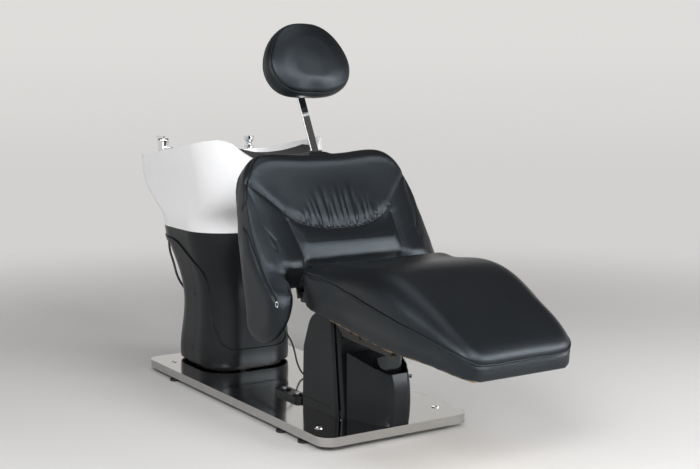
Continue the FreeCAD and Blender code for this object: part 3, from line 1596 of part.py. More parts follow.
def board_recess():
    """Room for the board in the cushion's underside, open towards the rear."""
    clear = number(S.back_pocket_clear)
    wires = []
    for x, half, _, _, under in long_seat_rows():
        inner = half - number(S.seat_base_inset + S.board_inset) + clear
        wires.append(ring_through([(x, -inner, 0), (x, inner, 0), (x, inner, under),
                                   (x, -inner, under)]))
    wide = S.seat_half_y * 2
    front = S.seat_foot_x - S.board_inset * 2 + clear
    kept = slab(S.seat_rear_x - S.cut_overrun, front, -wide, wide, 0, S.seat_piping_z)
    return Part.makeLoft(wires, True, True).common(kept)


def seat_cushion():
    """The leather wraps the board's edges, so its base lies level with the board's underside."""
    wires = []
    drop = number(S.board_thick + S.seat_gap)
    for row in SEAT_STATION_SHARES:
        x, half, piping, crown, under = [number(item) for item in seat_row(row)]
        inner = half - number(S.seat_base_inset)
        under = under - drop - number(S.board_thick / 3)
        low, high = (x, -inner, under), (x, -half, piping)
        left = (x, -half * 0.70, piping + crown * 0.955)
        right = (x, half * 0.70, piping + crown * 0.955)
        middle = (under + piping) / 2
        bulge = half - number(S.seat_base_inset) * 0.2
        wires.append(Part.Wire([
            line((x, inner, under), low),
            arc(low, (x, -bulge, middle), high),
            arc(high, (x, -half * 0.92, piping + crown * 0.68), left),
            arc(left, (x, 0, piping + crown), right),
            arc(right, (x, half * 0.92, piping + crown * 0.68), (x, half, piping)),
            arc((x, half, piping), (x, bulge, middle), (x, inner, under)),
        ]))
    shape = Part.makeLoft(wires, True, False).cut(below_seat(drop)).cut(board_recess())
    return solid_piece("seat_cushion", shape)


def seat_board():
    wires = []
    for row in SEAT_STATION_SHARES:
        x, half, _, _, under = [number(item) for item in seat_row(row)]
        inner = half - number(S.seat_base_inset + S.board_inset)
        top = under - number(S.seat_gap)
        low = top - number(S.board_thick)
        wires.append(ring_through([(x, -inner, low), (x, inner, low), (x, inner, top),
                                   (x, -inner, top)]))
    whole = Part.makeLoft(wires, True, True)
    inset = S.board_inset * 2
    reach = S.seat_half_y
    kept = slab(S.seat_rear_x + inset, S.seat_foot_x - inset, -reach, reach, 0,
                S.seat_piping_z)
    return solid_piece("seat_board", whole.common(kept))


def board_low_z(x):
    """Underside of the seat board over a point of the seat frame, with its seating gap."""
    rows = [seat_row(row) for row in SEAT_STATION_SHARES]
    for rear, front in zip(rows, rows[1:]):
        if number(rear[0]) <= number(x) <= number(front[0]):
            slope = (front[4] - rear[4]) / (front[0] - rear[0])
            return rear[4] + slope * (x - rear[0]) - S.board_thick - S.seat_gap * 2
    raise ValueError("the seat frame reaches past its board")


def seat_frame():
    """Side channels, cross bars, tilt lugs and the actuator's clevis, welded together."""
    piece = Piece("seat_frame")
    rear, front = S.channel_rear_x, S.channel_front_x
    rear_top, front_top = board_low_z(rear), board_low_z(front)
    outer, thick = S.channel_outer_y, S.channel_thick
    bend = seat_row(SEAT_STATION_SHARES[2])[0]
    web = [(rear, S.channel_rear_low_z), (front, S.channel_front_low_z), (front, front_top),
           (bend, board_low_z(bend)), (rear, rear_top)]
    piece.pad(piece.outline("XZ").polygon(web), outer * 2, both=True)
    over = S.cut_overrun
    clear = [(rear - over, S.channel_rear_low_z - over), (front + over, S.channel_rear_low_z - over),
             (front + over, rear_top + over), (rear - over, rear_top + over)]
    piece.pocket(piece.outline("XZ").polygon(clear), (outer - thick) * 2, both=True)
    flange = [(rear, S.channel_rear_low_z), (front, S.channel_front_low_z),
              (front, S.channel_front_low_z + thick), (rear, S.channel_rear_low_z + thick)]
    piece.pad(piece.outline("XZ").polygon(flange), outer * 2, both=True)
    piece.pocket(piece.outline("XZ").polygon(clear), (outer - S.channel_flange) * 2, both=True)
    lug_outer = S.lug_inner_y + S.lug_thick
    bar_top = S.pivot_z + S.lug_radius * 2
    bar_low = bar_top - S.cross_size_z
    half_x = S.cross_size_x / 2
    radius = S.lug_radius
    lug = [(S.pivot_x - radius, S.pivot_z - radius, radius * 0.9),
           (S.pivot_x + radius, S.pivot_z - radius, radius * 0.9),
           (S.cross_rear_x + half_x, bar_low), (S.cross_rear_x + half_x, bar_top),
           (S.cross_rear_x - half_x, bar_top),
           (S.pivot_x - radius, S.pivot_z + radius, radius * 0.9)]
    piece.pad(piece.outline("XZ").polygon(lug), lug_outer * 2, both=True)
    lug_clear = [(S.pivot_x - radius * 2, S.pivot_z - radius * 2),
                 (S.cross_rear_x + radius * 2, S.pivot_z - radius * 2),
                 (S.cross_rear_x + radius * 2, bar_top + over),
                 (S.pivot_x - radius * 2, bar_top + over)]
    piece.pocket(piece.outline("XZ").polygon(lug_clear), S.lug_inner_y * 2, both=True)
    mid = S.cross_mid_x
    drop = S.cross_size_z / 3
    ear = S.clevis_radius
    ears = [(S.actuator_top_x - ear, S.actuator_top_z - ear, ear * 0.8),
            (S.actuator_top_x + ear, S.actuator_top_z - ear, ear * 0.8),
            (S.actuator_top_x + ear, bar_top - drop), (S.actuator_top_x - ear, bar_top - drop)]
    ear_outer = S.clevis_gap / 2 + S.clevis_ear_thick
    piece.pad(piece.outline("XZ").polygon(ears), ear_outer * 2, both=True)
    ear_clear = [(mid - ear * 2, S.actuator_top_z - ear * 2), (mid + ear * 2, S.actuator_top_z - ear * 2),
                 (mid + ear * 2, bar_top + over), (mid - ear * 2, bar_top + over)]
    piece.pocket(piece.outline("XZ").polygon(ear_clear), S.clevis_gap, both=True)
    bars = piece.outline("XZ")
    bars.box(S.cross_rear_x, (bar_low + bar_top) / 2, half_x, (bar_top - bar_low) / 2)
    bars.box(mid, (bar_low + bar_top) / 2 - drop, half_x, (bar_top - bar_low) / 2)
    bars.box(S.cross_front_x, (bar_low + bar_top) / 2 - drop * 4, half_x, (bar_top - bar_low) / 2)
    piece.pad(bars, (outer - thick / 2) * 2, both=True)
    holes = piece.outline("XZ").circle(S.pivot_x, S.pivot_z, S.pivot_hole)
    holes.circle(S.actuator_top_x, S.actuator_top_z, S.actuator_pin_radius + S.pin_clearance)
    holes.circle((rear + front) / 2 + over * 2, S.channel_front_low_z + over * 1.6, S.bolt_head_radius)
    piece.pocket(holes, outer * 3, both=True)


def board_screws():
    """Screws that hold the board to the channels' cross bars, seen from below."""
    bar_low = S.pivot_z + S.lug_radius * 2 - S.cross_size_z
    piece = Piece("board_screws")
    for x, drop in ((S.cross_rear_x, 0), (S.cross_mid_x, 1), (S.cross_front_x, 4)):
        low = bar_low - S.cross_size_z / 3 * drop
        heads = piece.outline("XY", low - S.seat_gap)
        for side in (-1, 1):
            heads.circle(x, (S.channel_outer_y - S.channel_flange * 1.2) * side, S.board_screw_head)
        piece.pad(heads, S.board_screw_head_height, reverse=True)


def recline_hinge_plates():
    piece = Piece("recline_hinge_plates")
    x, z, radius = S.recline_x, S.recline_z, S.hinge_plate_radius
    foot_x = S.channel_rear_x + S.hinge_plate_radius * 3
    high = board_low_z(foot_x) - S.seat_gap
    low = S.channel_rear_low_z + S.channel_thick * 4
    plate = [(x - radius, z - radius, radius * 0.8), (x - radius, z + radius, radius * 0.8),
             (x + radius, z + radius, radius * 0.6), (S.channel_rear_x, board_low_z(S.channel_rear_x)
                                                      - S.channel_thick),
             (foot_x, high - S.channel_thick), (foot_x, low, radius * 0.4),
             (S.channel_rear_x, low, radius * 0.4)]
    inner = S.channel_outer_y + S.seat_gap / 3
    outer = inner + S.hinge_plate_thick
    piece.pad(piece.outline("XZ").polygon(plate), outer * 2, both=True)
    clear = piece.outline("XZ").box((x + foot_x) / 2, z, foot_x - x, radius * 5)
    piece.pocket(clear, inner * 2, both=True)
    hole = piece.outline("XZ").circle(x, z, S.recline_bolt_radius + S.pin_clearance)
    piece.pocket(hole, outer * 3, both=True)


def recline_bolts():
    piece = Piece("recline_bolts", (S.recline_x, 0, S.recline_z))
    arm_inner = S.channel_outer_y + S.hinge_plate_thick + S.arm_gap
    outer = arm_inner + S.arm_thick + S.seat_gap
    head = outer + S.recline_bolt_head_height
    inner = S.channel_outer_y - S.recline_bolt_head_height
    piece.pad(piece.outline("XZ").circle(0, 0, S.recline_bolt_radius), outer * 2 + S.seat_gap, both=True)
    piece.pocket(piece.outline("XZ").circle(0, 0, S.recline_bolt_radius * 2), inner * 2, both=True)
    for side in (-1, 1):
        cap = piece.outline("XZ", outer * side)
        cap.circle(0, 0, S.recline_bolt_head_radius)
        piece.pad(cap, head - outer, reverse=side < 0)
        nut = piece.outline("XZ", S.channel_outer_y * side)
        nut.circle(0, 0, S.recline_bolt_head_radius)
        piece.pad(nut, S.recline_bolt_head_height, reverse=side > 0)


def back_place():
    return (S.back_foot_x, 0, S.back_foot_z)


def recline_in_back():
    """The recline hinge seen from the backrest's own leaning frame."""
    run, rise = S.recline_x - S.back_foot_x, S.recline_z - S.back_foot_z
    lean = S.back_lean
    return (run * cosine(lean) + rise * sine(lean), rise * cosine(lean) - run * sine(lean))


def board_face_x():
    return S.back_panel_thick + S.seat_gap + S.back_board_thick + S.seat_gap


def backrest_frame():
    """Two arms that run from the hinge under the backrest and up behind its board."""
    piece = Piece("backrest_frame", back_place(), S.back_lean)
    hinge_x, hinge_z = recline_in_back()
    radius = S.arm_radius
    inner = S.channel_outer_y + S.hinge_plate_thick + S.arm_gap
    outer = inner + S.arm_thick
    face = board_face_x()
    low = S.back_arm_low
    leg = [(hinge_x + radius, hinge_z - radius, radius * 0.8),
           (hinge_x + radius, hinge_z + radius, radius * 0.8),
           (face + S.arm_thick, low + S.back_arm_width * 0.7),
           (face, low + S.back_arm_width * 0.7), (face, low - S.back_arm_width * 0.4)]
    piece.pad(piece.outline("XZ").polygon(leg), outer * 2, both=True)
    clear = piece.outline("XZ").box(hinge_x / 2, hinge_z / 2, hinge_x, radius * 6)
    piece.pocket(clear, inner * 2, both=True)
    uprights = piece.outline("YZ", face)
    half = (S.back_arm_top - low) / 2
    for side in (-1, 1):
        uprights.box((inner + S.arm_thick / 2) * side, low + half, S.back_arm_width / 2, half)
    piece.pad(uprights, S.arm_thick)
    bar = piece.outline("YZ", face)
    bar.box(0, low, inner + S.arm_thick / 2, S.back_arm_width * 0.4)
    piece.pad(bar, S.arm_thick * 2)
    hole = piece.outline("XZ").circle(hinge_x, hinge_z, S.recline_bolt_radius + S.pin_clearance)
    piece.pocket(hole, outer * 3, both=True)


def backrest_board():
    piece = Piece("backrest_board", back_place(), S.back_lean)
    face = piece.outline("YZ", S.back_panel_thick + S.seat_gap)
    half = (S.back_board_top - S.back_board_low) / 2
    face.box(0, S.back_board_low + half, S.back_board_half_y, half, S.back_board_half_y * 0.2)
    piece.pad(face, S.back_board_thick)


def backrest_rear_panel():
    piece = Piece("backrest_rear_panel", back_place(), S.back_lean)
    inset = S.back_panel_inset
    half_z = S.back_height / 2 - inset
    face = piece.outline("YZ")
    face.box(0, S.back_height / 2 - inset * 0.4, S.back_half_y - inset * 1.6, half_z, half_z * 0.45)
    piece.pad(face, S.back_panel_thick)


def back_depth(height, share):
    """Thickness of the backrest over a height of its own frame, through three named depths."""
    low, top = 0.0, number(S.back_height)
    middle = top * 0.40
    depths = [number(S.back_depth_low), number(S.back_depth_mid), number(S.back_depth_top)]
    spots = [low, middle, top]
    total = 0.0
    for index, spot in enumerate(spots):
        part = depths[index]
        for other in spots:
            if other != spot:
                part *= (height - other) / (spot - other)
        total += part
    return total * share


def back_section(y, bottom, top, share, toe_round=None):
    """One closed section of the backrest across its width, a little deeper than its flat rear."""
    rear = number(S.back_panel_thick * 0.75)
    span = top - bottom
    cap = min(span * 0.2, number(S.back_panel_inset) * 2)
    toe = min(span * 0.22, number(S.back_panel_inset) * 2)
    toe = min(span * 0.4, number(toe_round)) if toe_round else toe
    middle = bottom + span * 0.5
    depth_top = back_depth(top - cap, share)
    depth_mid = back_depth(middle, share)
    depth_low = back_depth(max(bottom + toe, -number(S.back_wing_drop) * 0.3), share)
    first, last = (depth_low, y, bottom + toe), (depth_top, y, top - cap)
    quarter, three = bottom + span * 0.27, bottom + span * 0.75
    centre = (depth_mid, y, middle)
    rear_top, rear_low = (rear, y, top - cap), (rear, y, bottom + toe * 0.6)
    over = (rear + (depth_top - rear) * 0.45, y, top)
    under = (rear + (depth_low - rear) * 0.52, y, bottom)
    return Part.Wire([
        arc(first, (back_depth(quarter, share) if quarter > 0 else depth_low, y,
                    max(quarter, bottom + toe * 1.2)), centre),
        arc(centre, (back_depth(three, share), y, three), last),
        arc(last, over, rear_top),
        line(rear_top, rear_low),
        arc(rear_low, under, first),
    ])


def in_back_frame(shape):
    """A shape of the plate frame as the backrest's own frame sees it."""
    at = [number(part) for part in back_place()]
    turn = Rotation(Vector(0, 1, 0), -number(S.back_lean))
    moved = shape.copy()
    moved.Placement = Placement(Vector(*at), turn).inverse().multiply(moved.Placement)
    return moved


def bar_frame(shape, grow=0.0):
    turn = Rotation(Vector(0, 1, 0), -number(S.bar_lean))
    moved = shape.copy()
    top = Vector(number(S.bar_top_x), 0, number(S.bar_top_z))
    moved.Placement = Placement(top, turn).multiply(moved.Placement)
    return moved


def sleeve_outside(clear):
    """The sleeve, its collar and its foot, let out by a clearance, in the backrest's frame."""
    half_y = S.bar_width / 2 + S.sleeve_clear + S.sleeve_wall + clear
    half_x = S.bar_thick / 2 + S.sleeve_clear + S.sleeve_wall + clear
    top = -S.bar_exposed
    tube = slab(-half_x, half_x, -half_y, half_y, top - S.sleeve_length - clear, top)
    rim = S.sleeve_collar
    collar_top = top + S.sleeve_collar_height + clear * S.cut_overrun.value
    collar = slab(-half_x - rim, half_x + rim, -half_y - rim, half_y + rim, top - clear, collar_top)
    shape = in_back_frame(bar_frame(tube.fuse(collar)))
    foot = slab(board_face_x() - S.seat_gap * 0, board_face_x() + S.sleeve_wall * 12 + clear,
                -half_y, half_y, S.back_board_top * 0.72 - clear, S.back_board_top * 0.9 + clear)
    return shape.fuse(foot)


def headrest_sleeve():
    half_y = S.bar_width / 2 + S.sleeve_clear
    half_x = S.bar_thick / 2 + S.sleeve_clear
    over = S.cut_overrun
    bore = slab(-half_x, half_x, -half_y, half_y, -S.bar_exposed - S.sleeve_length - over * 5,
                -S.bar_exposed + over)
    shape = sleeve_outside(0.0).cut(in_back_frame(bar_frame(bore)))
    return solid_piece("headrest_sleeve", shape, back_place(), S.back_lean)


def backrest_cushion():
    half = number(S.back_half_y)
    height = number(S.back_height)
    wires = []
    rows = [row for row in reversed(BACK_STATION_SHARES[1:])]
    stations = [(-row[0], row) for row in rows] + [(row[0], row) for row in BACK_STATION_SHARES]
    for place_share, (_, top, bottom, depth) in stations:
        wires.append(back_section(half * place_share, height * bottom, height * top, depth))
    shape = Part.makeLoft(wires, True, False)
    inner = number(S.back_wing_inner_y)
    for side in (-1, 1):
        wires = []
        for share, top, bottom, depth in WING_STATION_SHARES:
            y = (inner + (half - inner) * share) * side
            low = -number(S.back_wing_drop) * bottom
            wires.append(back_section(y, low, height * top, depth, S.back_wing_round))
        shape = shape.fuse(Part.makeLoft(wires, True, False))
    clear = S.back_pocket_clear
    shape = shape.cut(slab(-S.back_height, S.back_panel_thick + S.seat_gap, -S.back_height,
                           S.back_height, -S.back_height, S.back_height * 2))
    board_front = board_face_x()
    board = slab(0, board_front, -S.back_board_half_y - clear, S.back_board_half_y + clear,
                 -S.back_height, S.back_board_top + clear)
    shape = shape.cut(board)
    inner = S.channel_outer_y + S.hinge_plate_thick + S.arm_gap
    centre = inner + S.arm_thick / 2
    arm = S.back_arm_width / 2 + clear
    for side in (-1, 1):
        shape = shape.cut(slab(0, board_front + S.arm_thick + clear, centre * side - arm,
                               centre * side + arm, -S.back_height, S.back_arm_top + clear))
    shape = shape.cut(sleeve_outside(number(clear)))
    return solid_piece("backrest_cushion", shape, back_place(), S.back_lean)


def headrest_bar():
    piece = Piece("headrest_bar", (S.bar_top_x, 0, S.bar_top_z), S.bar_lean)
    flat = piece.outline("XY").box(0, 0, S.bar_thick / 2, S.bar_width / 2, S.bar_round)
    piece.pad(flat, S.bar_exposed + S.bar_insert, reverse=True)
    arm = piece.outline("XZ").polygon([
        (-S.bar_thick / 2, -S.knuckle_drop - S.knuckle_radius),
        (S.knuckle_offset, -S.knuckle_drop - S.knuckle_radius),
        (S.knuckle_offset, -S.knuckle_drop + S.knuckle_radius),
        (-S.bar_thick / 2, -S.knuckle_drop + S.knuckle_radius),
    ])
    piece.pad(arm, S.knuckle_width, both=True)
    barrel = piece.outline("XZ").circle(S.knuckle_offset, -S.knuckle_drop, S.knuckle_radius)
    piece.pad(barrel, S.knuckle_width, both=True)
    hole = piece.outline("XZ").circle(S.knuckle_offset, -S.knuckle_drop,
                                      S.knuckle_pin_radius + S.pin_clearance)
    piece.pocket(hole, S.knuckle_width * 2, both=True)


def head_place():
    """The headrest's hinge, found from the bar's own leaning frame."""
    lean = S.bar_lean
    x = S.bar_top_x + S.knuckle_offset * cosine(lean) + S.knuckle_drop * sine(lean)
    z = S.bar_top_z + S.knuckle_offset * sine(lean) - S.knuckle_drop * cosine(lean)
    return (x, 0, z)


def headrest_plate():
    piece = Piece("headrest_plate", head_place(), S.head_lean)
    front = S.knuckle_radius + S.head_plate_thick / 2
    face = piece.outline("YZ", front)
    face.box(0, S.head_plate_half_z * 0.6, S.head_plate_half_y, S.head_plate_half_z,
             S.head_plate_corner)
    inner = S.knuckle_width / 2 + S.knuckle_gap
    outer = inner + S.knuckle_ear
    radius = S.knuckle_radius * 0.9
    ears = piece.outline("XZ").polygon([
        (-radius, -radius, radius * 0.8), (front, -radius), (front, radius),
        (-radius, radius, radius * 0.8),
    ])
    piece.pad(ears, outer * 2, both=True)
    clear = piece.outline("XZ").box(0, 0, S.knuckle_radius * 3, S.knuckle_radius * 3)
    piece.pocket(clear, inner * 2, both=True)
    piece.pad(face, S.head_plate_thick)
    hole = piece.outline("XZ").circle(0, 0, S.knuckle_pin_radius + S.pin_clearance)
    piece.pocket(hole, outer * 3, both=True)


def headrest_pin():
    piece = Piece("headrest_pin", head_place(), S.head_lean)
    half = S.knuckle_width / 2 + S.knuckle_gap + S.knuckle_ear * 1.5
    piece.pad(piece.outline("XZ").circle(0, 0, S.knuckle_pin_radius), half * 2, both=True)


def headrest_cushion():
    rear = number(S.knuckle_radius + S.head_plate_thick * 1.5 + S.seat_gap)
    thick, half_y = number(S.head_thick), number(S.head_half_y)
    half_z = number(S.head_height) / 2
    centre = half_z - number(S.head_drop)
    wires = []
    for share, grow in HEAD_STATION_SHARES:
        x = rear + thick * share
        right = [(side, rise) for side, rise in HEAD_OUTLINE_SHARES]
        left = [(-side, rise) for side, rise in reversed(HEAD_OUTLINE_SHARES[1:-1])]
        spots = [Vector(x, half_y * grow * side, centre + half_z * grow * rise)
                 for side, rise in right + left]
        curve = Part.BSplineCurve()
        curve.interpolate(Points=spots, PeriodicFlag=True)
        wires.append(Part.Wire([curve.toShape()]))
    shape = Part.makeLoft(wires, True, False)
    return solid_piece("headrest_cushion", shape, head_place(), S.head_lean)


base_plate()
anchor_rings()
under_frame()
levelling_feet()
pedestal_front_shell()
pedestal_bead()
lower_shell("pedestal_skirt", True)
lower_shell("pedestal_rear_cover", False)
pedestal_screws()
pedestal_stand()
basin()
neck_cushion()
mixer_body()
mixer_cap()
mixer_lever()
shower_socket()
hand_shower()
waste_fitting()
strainer()
bottle_trap()
waste_pipe()
supply_valves()
shower_hose()
power_lead()
cord_glands()
column_housing()
column_post()
tilt_pin()
column_bolts()
actuator_cover()
cover_collar()
actuator_mount()
actuator_foot_pin()
actuator_body()
actuator_rod()
actuator_top_pin()
foot_switch()
release_lever()
seat_frame()
board_screws()
seat_board()
seat_cushion()
recline_hinge_plates()
recline_bolts()
backrest_frame()
backrest_board()
backrest_rear_panel()
headrest_sleeve()
backrest_cushion()
headrest_bar()
headrest_plate()
headrest_pin()
headrest_cushion()

doc.recompute()
faults = []
for item in doc.Objects:
    if "Invalid" in item.State or "Error" in item.State:
        faults.append("%s: %s" % (item.Name, item.State))
for piece in pieces:
    if piece.Shape.isNull() or not piece.Shape.isValid() or not piece.Shape.Solids:
        faults.append("%s: its shape is not a valid solid" % piece.Label)
if faults:
    raise SystemExit("\n".join(faults))

os.makedirs("parts", exist_ok=True)
for piece in pieces:
    piece.Shape.exportStep("parts/%s.step" % piece.Label)
print("%d sub-parts written" % len(pieces))
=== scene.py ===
"""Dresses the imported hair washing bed: leather lounger, glazed basin and brushed steel plate."""
import json
import logging
import math
import random
from dataclasses import dataclass
from enum import Enum
from typing import Optional, Sequence

import bmesh
import bpy
import numpy as np
from mathutils import Matrix, Vector
from mathutils.bvhtree import BVHTree

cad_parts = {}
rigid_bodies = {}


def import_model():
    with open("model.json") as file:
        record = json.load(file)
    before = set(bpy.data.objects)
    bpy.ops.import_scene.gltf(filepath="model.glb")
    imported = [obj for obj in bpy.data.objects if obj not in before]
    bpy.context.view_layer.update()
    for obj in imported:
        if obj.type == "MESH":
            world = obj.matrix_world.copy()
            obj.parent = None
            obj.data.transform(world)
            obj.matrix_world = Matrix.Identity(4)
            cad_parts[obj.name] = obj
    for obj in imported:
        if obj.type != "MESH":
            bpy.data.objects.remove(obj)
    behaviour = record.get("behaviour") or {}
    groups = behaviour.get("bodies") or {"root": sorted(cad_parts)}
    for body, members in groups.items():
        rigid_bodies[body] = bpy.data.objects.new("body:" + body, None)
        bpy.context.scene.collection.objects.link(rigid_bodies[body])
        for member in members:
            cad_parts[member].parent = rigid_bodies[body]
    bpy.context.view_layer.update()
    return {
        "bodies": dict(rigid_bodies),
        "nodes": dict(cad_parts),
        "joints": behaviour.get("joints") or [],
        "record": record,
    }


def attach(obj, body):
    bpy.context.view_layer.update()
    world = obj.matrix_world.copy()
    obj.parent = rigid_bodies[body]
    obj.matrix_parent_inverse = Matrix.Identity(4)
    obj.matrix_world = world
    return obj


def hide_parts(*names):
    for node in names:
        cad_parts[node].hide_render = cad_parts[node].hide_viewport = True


LOG = logging.getLogger("hair_washing_bed")
MM = 0.001
PLATE_BACK = 208.0
BACK_FOOT = (232.0, 440.0)
BACK_LEAN = math.radians(15.4)
HEAD_LEAN = math.radians(22.0)
AIR_FRAMES = 20
STITCH = 0.0062


def at(x: float, y: float, z: float) -> Vector:
    """A point given in millimetres from the floor plate's middle, in metres in the row frame.

    Args:
        x: towards the foot end.
        y: away from the near side.
        z: above the floor.

    Returns:
        The point in metres.
    """
    return Vector(((x - PLATE_BACK) * MM, y * MM, z * MM))


class Signal:
    """A number or colour in a shader that can be used in ordinary sums."""

    def __init__(self, graph: "Graph", socket: bpy.types.NodeSocket) -> None:
        """Keeps the socket and the graph it belongs to."""
        self.graph = graph
        self.socket = socket

    def _sum(self, operation: str, first: object, second: object = None) -> "Signal":
        """One Math node of two values."""
        inputs = {0: first} if second is None else {0: first, 1: second}
        return self.graph.node("ShaderNodeMath", {"operation": operation}, inputs)[0]

    def __add__(self, other: object) -> "Signal":
        """Self plus other."""
        return self._sum("ADD", self, other)

    def __radd__(self, other: object) -> "Signal":
        """Other plus self."""
        return self._sum("ADD", other, self)

    def __sub__(self, other: object) -> "Signal":
        """Self less other."""
        return self._sum("SUBTRACT", self, other)

    def __rsub__(self, other: object) -> "Signal":
        """Other less self."""
        return self._sum("SUBTRACT", other, self)

    def __mul__(self, other: object) -> "Signal":
        """Self times other."""
        return self._sum("MULTIPLY", self, other)

    def __rmul__(self, other: object) -> "Signal":
        """Other times self."""
        return self._sum("MULTIPLY", other, self)

    def clamped(self) -> "Signal":
        """The value held between 0 and 1."""
        return self._sum("MINIMUM", self._sum("MAXIMUM", self, 0.0), 1.0)


class Outputs:
    """A node's outputs, by number or by name."""

    def __init__(self, graph: "Graph", node: bpy.types.Node) -> None:
        """Keeps the node and the graph it belongs to."""
        self.graph = graph
        self.node = node

    def __getitem__(self, key: object) -> Signal:
        """The output of that number or name."""
        return Signal(self.graph, self.node.outputs[key])


class Graph:
    """A tree of shader nodes, of a material or of the world."""

    def __init__(self, tree: bpy.types.NodeTree) -> None:
        """Keeps the tree."""
        self.tree = tree

    def feed(self, socket: bpy.types.NodeSocket, value: object) -> None:
        """Sets a socket to a value, or links a signal to it."""
        if isinstance(value, Signal):
            self.tree.links.new(value.socket, socket)
        else:
            socket.default_value = value

    def node(self, kind: str, settings: Optional[dict] = None,
             inputs: Optional[dict] = None) -> Outputs:
        """Adds a node.

        Args:
            kind: Blender's name of the node type.
            settings: properties that are set first; "stops" fills a colour ramp.
            inputs: values or signals of its sockets, by name or number.

        Returns:
            The node's outputs.
        """
        node = self.tree.nodes.new(kind)
        for name, value in (settings or {}).items():
            if name == "stops":
                ramp = node.color_ramp.elements
                while len(ramp) < len(value):
                    ramp.new(0.5)
                for stop, (place, shade) in zip(ramp, value):
                    stop.position = place
                    stop.color = (shade, shade, shade, 1.0) if isinstance(shade, float) else shade
            else:
                setattr(node, name, value)
        for name, value in (inputs or {}).items():
            self.feed(node.inputs[name], value)
        return Outputs(self, node)

    def between(self, value: Signal, low: float, high: float, start: float = 0.0,
                end: float = 1.0) -> Signal:
        """Goes smoothly from start to end while a value goes from low to high."""
        return self.node("ShaderNodeMapRange", {"interpolation_type": "SMOOTHSTEP"}, {
            0: value, 1: low, 2: high, 3: start, 4: end})[0]


class Shader(Graph):
    """One material, built round a Principled shader."""

    def __init__(self, name: str) -> None:
        """Starts a material with a Principled shader and nothing else.

        Args:
            name: the material's name.
        """
        self.material = bpy.data.materials.new(name)
        self.material.use_nodes = True
        super().__init__(self.material.node_tree)
        self.tree.nodes.clear()
        self.surface = self.tree.nodes.new("ShaderNodeBsdfPrincipled")
        self.output = self.tree.nodes.new("ShaderNodeOutputMaterial")
        self.tree.links.new(self.surface.outputs[0], self.output.inputs[0])

    def place(self) -> Signal:
        """The surface point, in metres, in the piece's own frame."""
        return self.node("ShaderNodeTexCoord")["Object"]

    def stretched(self, x: float, y: float, z: float) -> Signal:
        """The surface point with each axis scaled, for grain that runs one way."""
        return self.node("ShaderNodeMapping", inputs={
            "Vector": self.place(), "Scale": (x, y, z)})[0]

    def speckle(self, scale: float, detail: float = 2.0, rough: float = 0.5,
                place: Optional[Signal] = None) -> Signal:
        """Soft noise from 0 to 1, with scale waves to the metre."""
        return self.node("ShaderNodeTexNoise", inputs={
            "Vector": place or self.place(), "Scale": scale, "Detail": detail,
            "Roughness": rough})[0]

    def cells(self, scale: float, feature: str = "F1", place: Optional[Signal] = None) -> Signal:
        """Distance to the nearest cell centre or edge, for grain and pores."""
        return self.node("ShaderNodeTexVoronoi", {"feature": feature}, {
            "Vector": place or self.place(), "Scale": scale})["Distance"]

    def ramp(self, value: Signal, stops: Sequence[tuple]) -> Signal:
        """Maps a value through a colour ramp."""
        return self.node("ShaderNodeValToRGB", {"stops": stops}, {0: value})[0]

    def mix(self, share: object, first: object, second: object) -> Signal:
        """Mixes two colours by a share."""
        return self.node("ShaderNodeMix", {"data_type": "RGBA"}, {
            0: share, 6: first, 7: second})[2]

    def relief(self, height: Signal, depth: float, under: Optional[Signal] = None) -> Signal:
        """A Bump node that raises the surface by up to depth metres."""
        inputs = {"Height": height, "Strength": 1.0, "Distance": depth}
        if under is not None:
            inputs["Normal"] = under
        return self.node("ShaderNodeBump", inputs=inputs)[0]

    def finish(self, **sockets: object) -> bpy.types.Material:
        """Sets sockets of the Principled shader and gives back the material."""
        for name, value in sockets.items():
            label = name.replace("_", " ").title().replace("Ior", "IOR")
            self.feed(self.surface.inputs[label], value)
        return self.material


def tint(shade: Sequence[float], share: float = 1.0, lift: float = 0.0) -> tuple:
    """A colour times a share, with a little added, and its alpha."""
    return (*(part * share + lift for part in shade), 1.0)


@dataclass(frozen=True)
class Leather:
    """Smooth upholstery leather with fine pebble grain and a soft sheen."""
    name: str = "black_leather"
    colour: tuple = (0.0050, 0.0056, 0.0068)
    worn: tuple = (0.0082, 0.0090, 0.0106)
    gloss: float = 0.33
    grain_per_metre: float = 780.0
    sheen: tuple = (0.76, 0.90, 1.0)

    def material(self) -> bpy.types.Material:
        """Builds the leather."""
        shader = Shader(self.name)
        broad = shader.speckle(7.0, 3.0)
        pores = shader.cells(self.grain_per_metre)
        pebble = shader.speckle(self.grain_per_metre * 0.45, 3.0, 0.6)
        creases = shader.cells(95.0, "DISTANCE_TO_EDGE", shader.stretched(1.0, 0.55, 1.0))
        crease = shader.ramp(creases, ((0.0, 0.0), (0.05, 1.0)))
        base = shader.relief(pebble * 0.6 + pores * 0.7, 0.00022)
        whole = shader.relief(crease * 0.5 + broad, 0.00018, base)
        return shader.finish(
            base_color=shader.mix(broad * 0.8, tint(self.colour), tint(self.worn)),
            roughness=self.gloss - 0.05 + broad * 0.09 + pebble * 0.04,
            specular_ior_level=0.40, specular_tint=tint(self.sheen), normal=whole)


@dataclass(frozen=True)
class Plastic:
    """Moulded plastic with a fine even texture."""
    name: str
    colour: tuple
    gloss: float = 0.30
    texture_depth: float = 0.00004
    shine: float = 0.28

    def material(self) -> bpy.types.Material:
        """Builds the plastic."""
        shader = Shader(self.name)
        broad = shader.speckle(5.0, 3.0)
        fine = shader.speckle(1500.0, 2.0)
        return shader.finish(
            base_color=shader.mix(broad, tint(self.colour), tint(self.colour, 1.25)),
            roughness=self.gloss - 0.04 + broad * 0.08, specular_ior_level=self.shine,
            specular_tint=tint((0.84, 0.93, 1.0)),
            normal=shader.relief(fine, self.texture_depth))


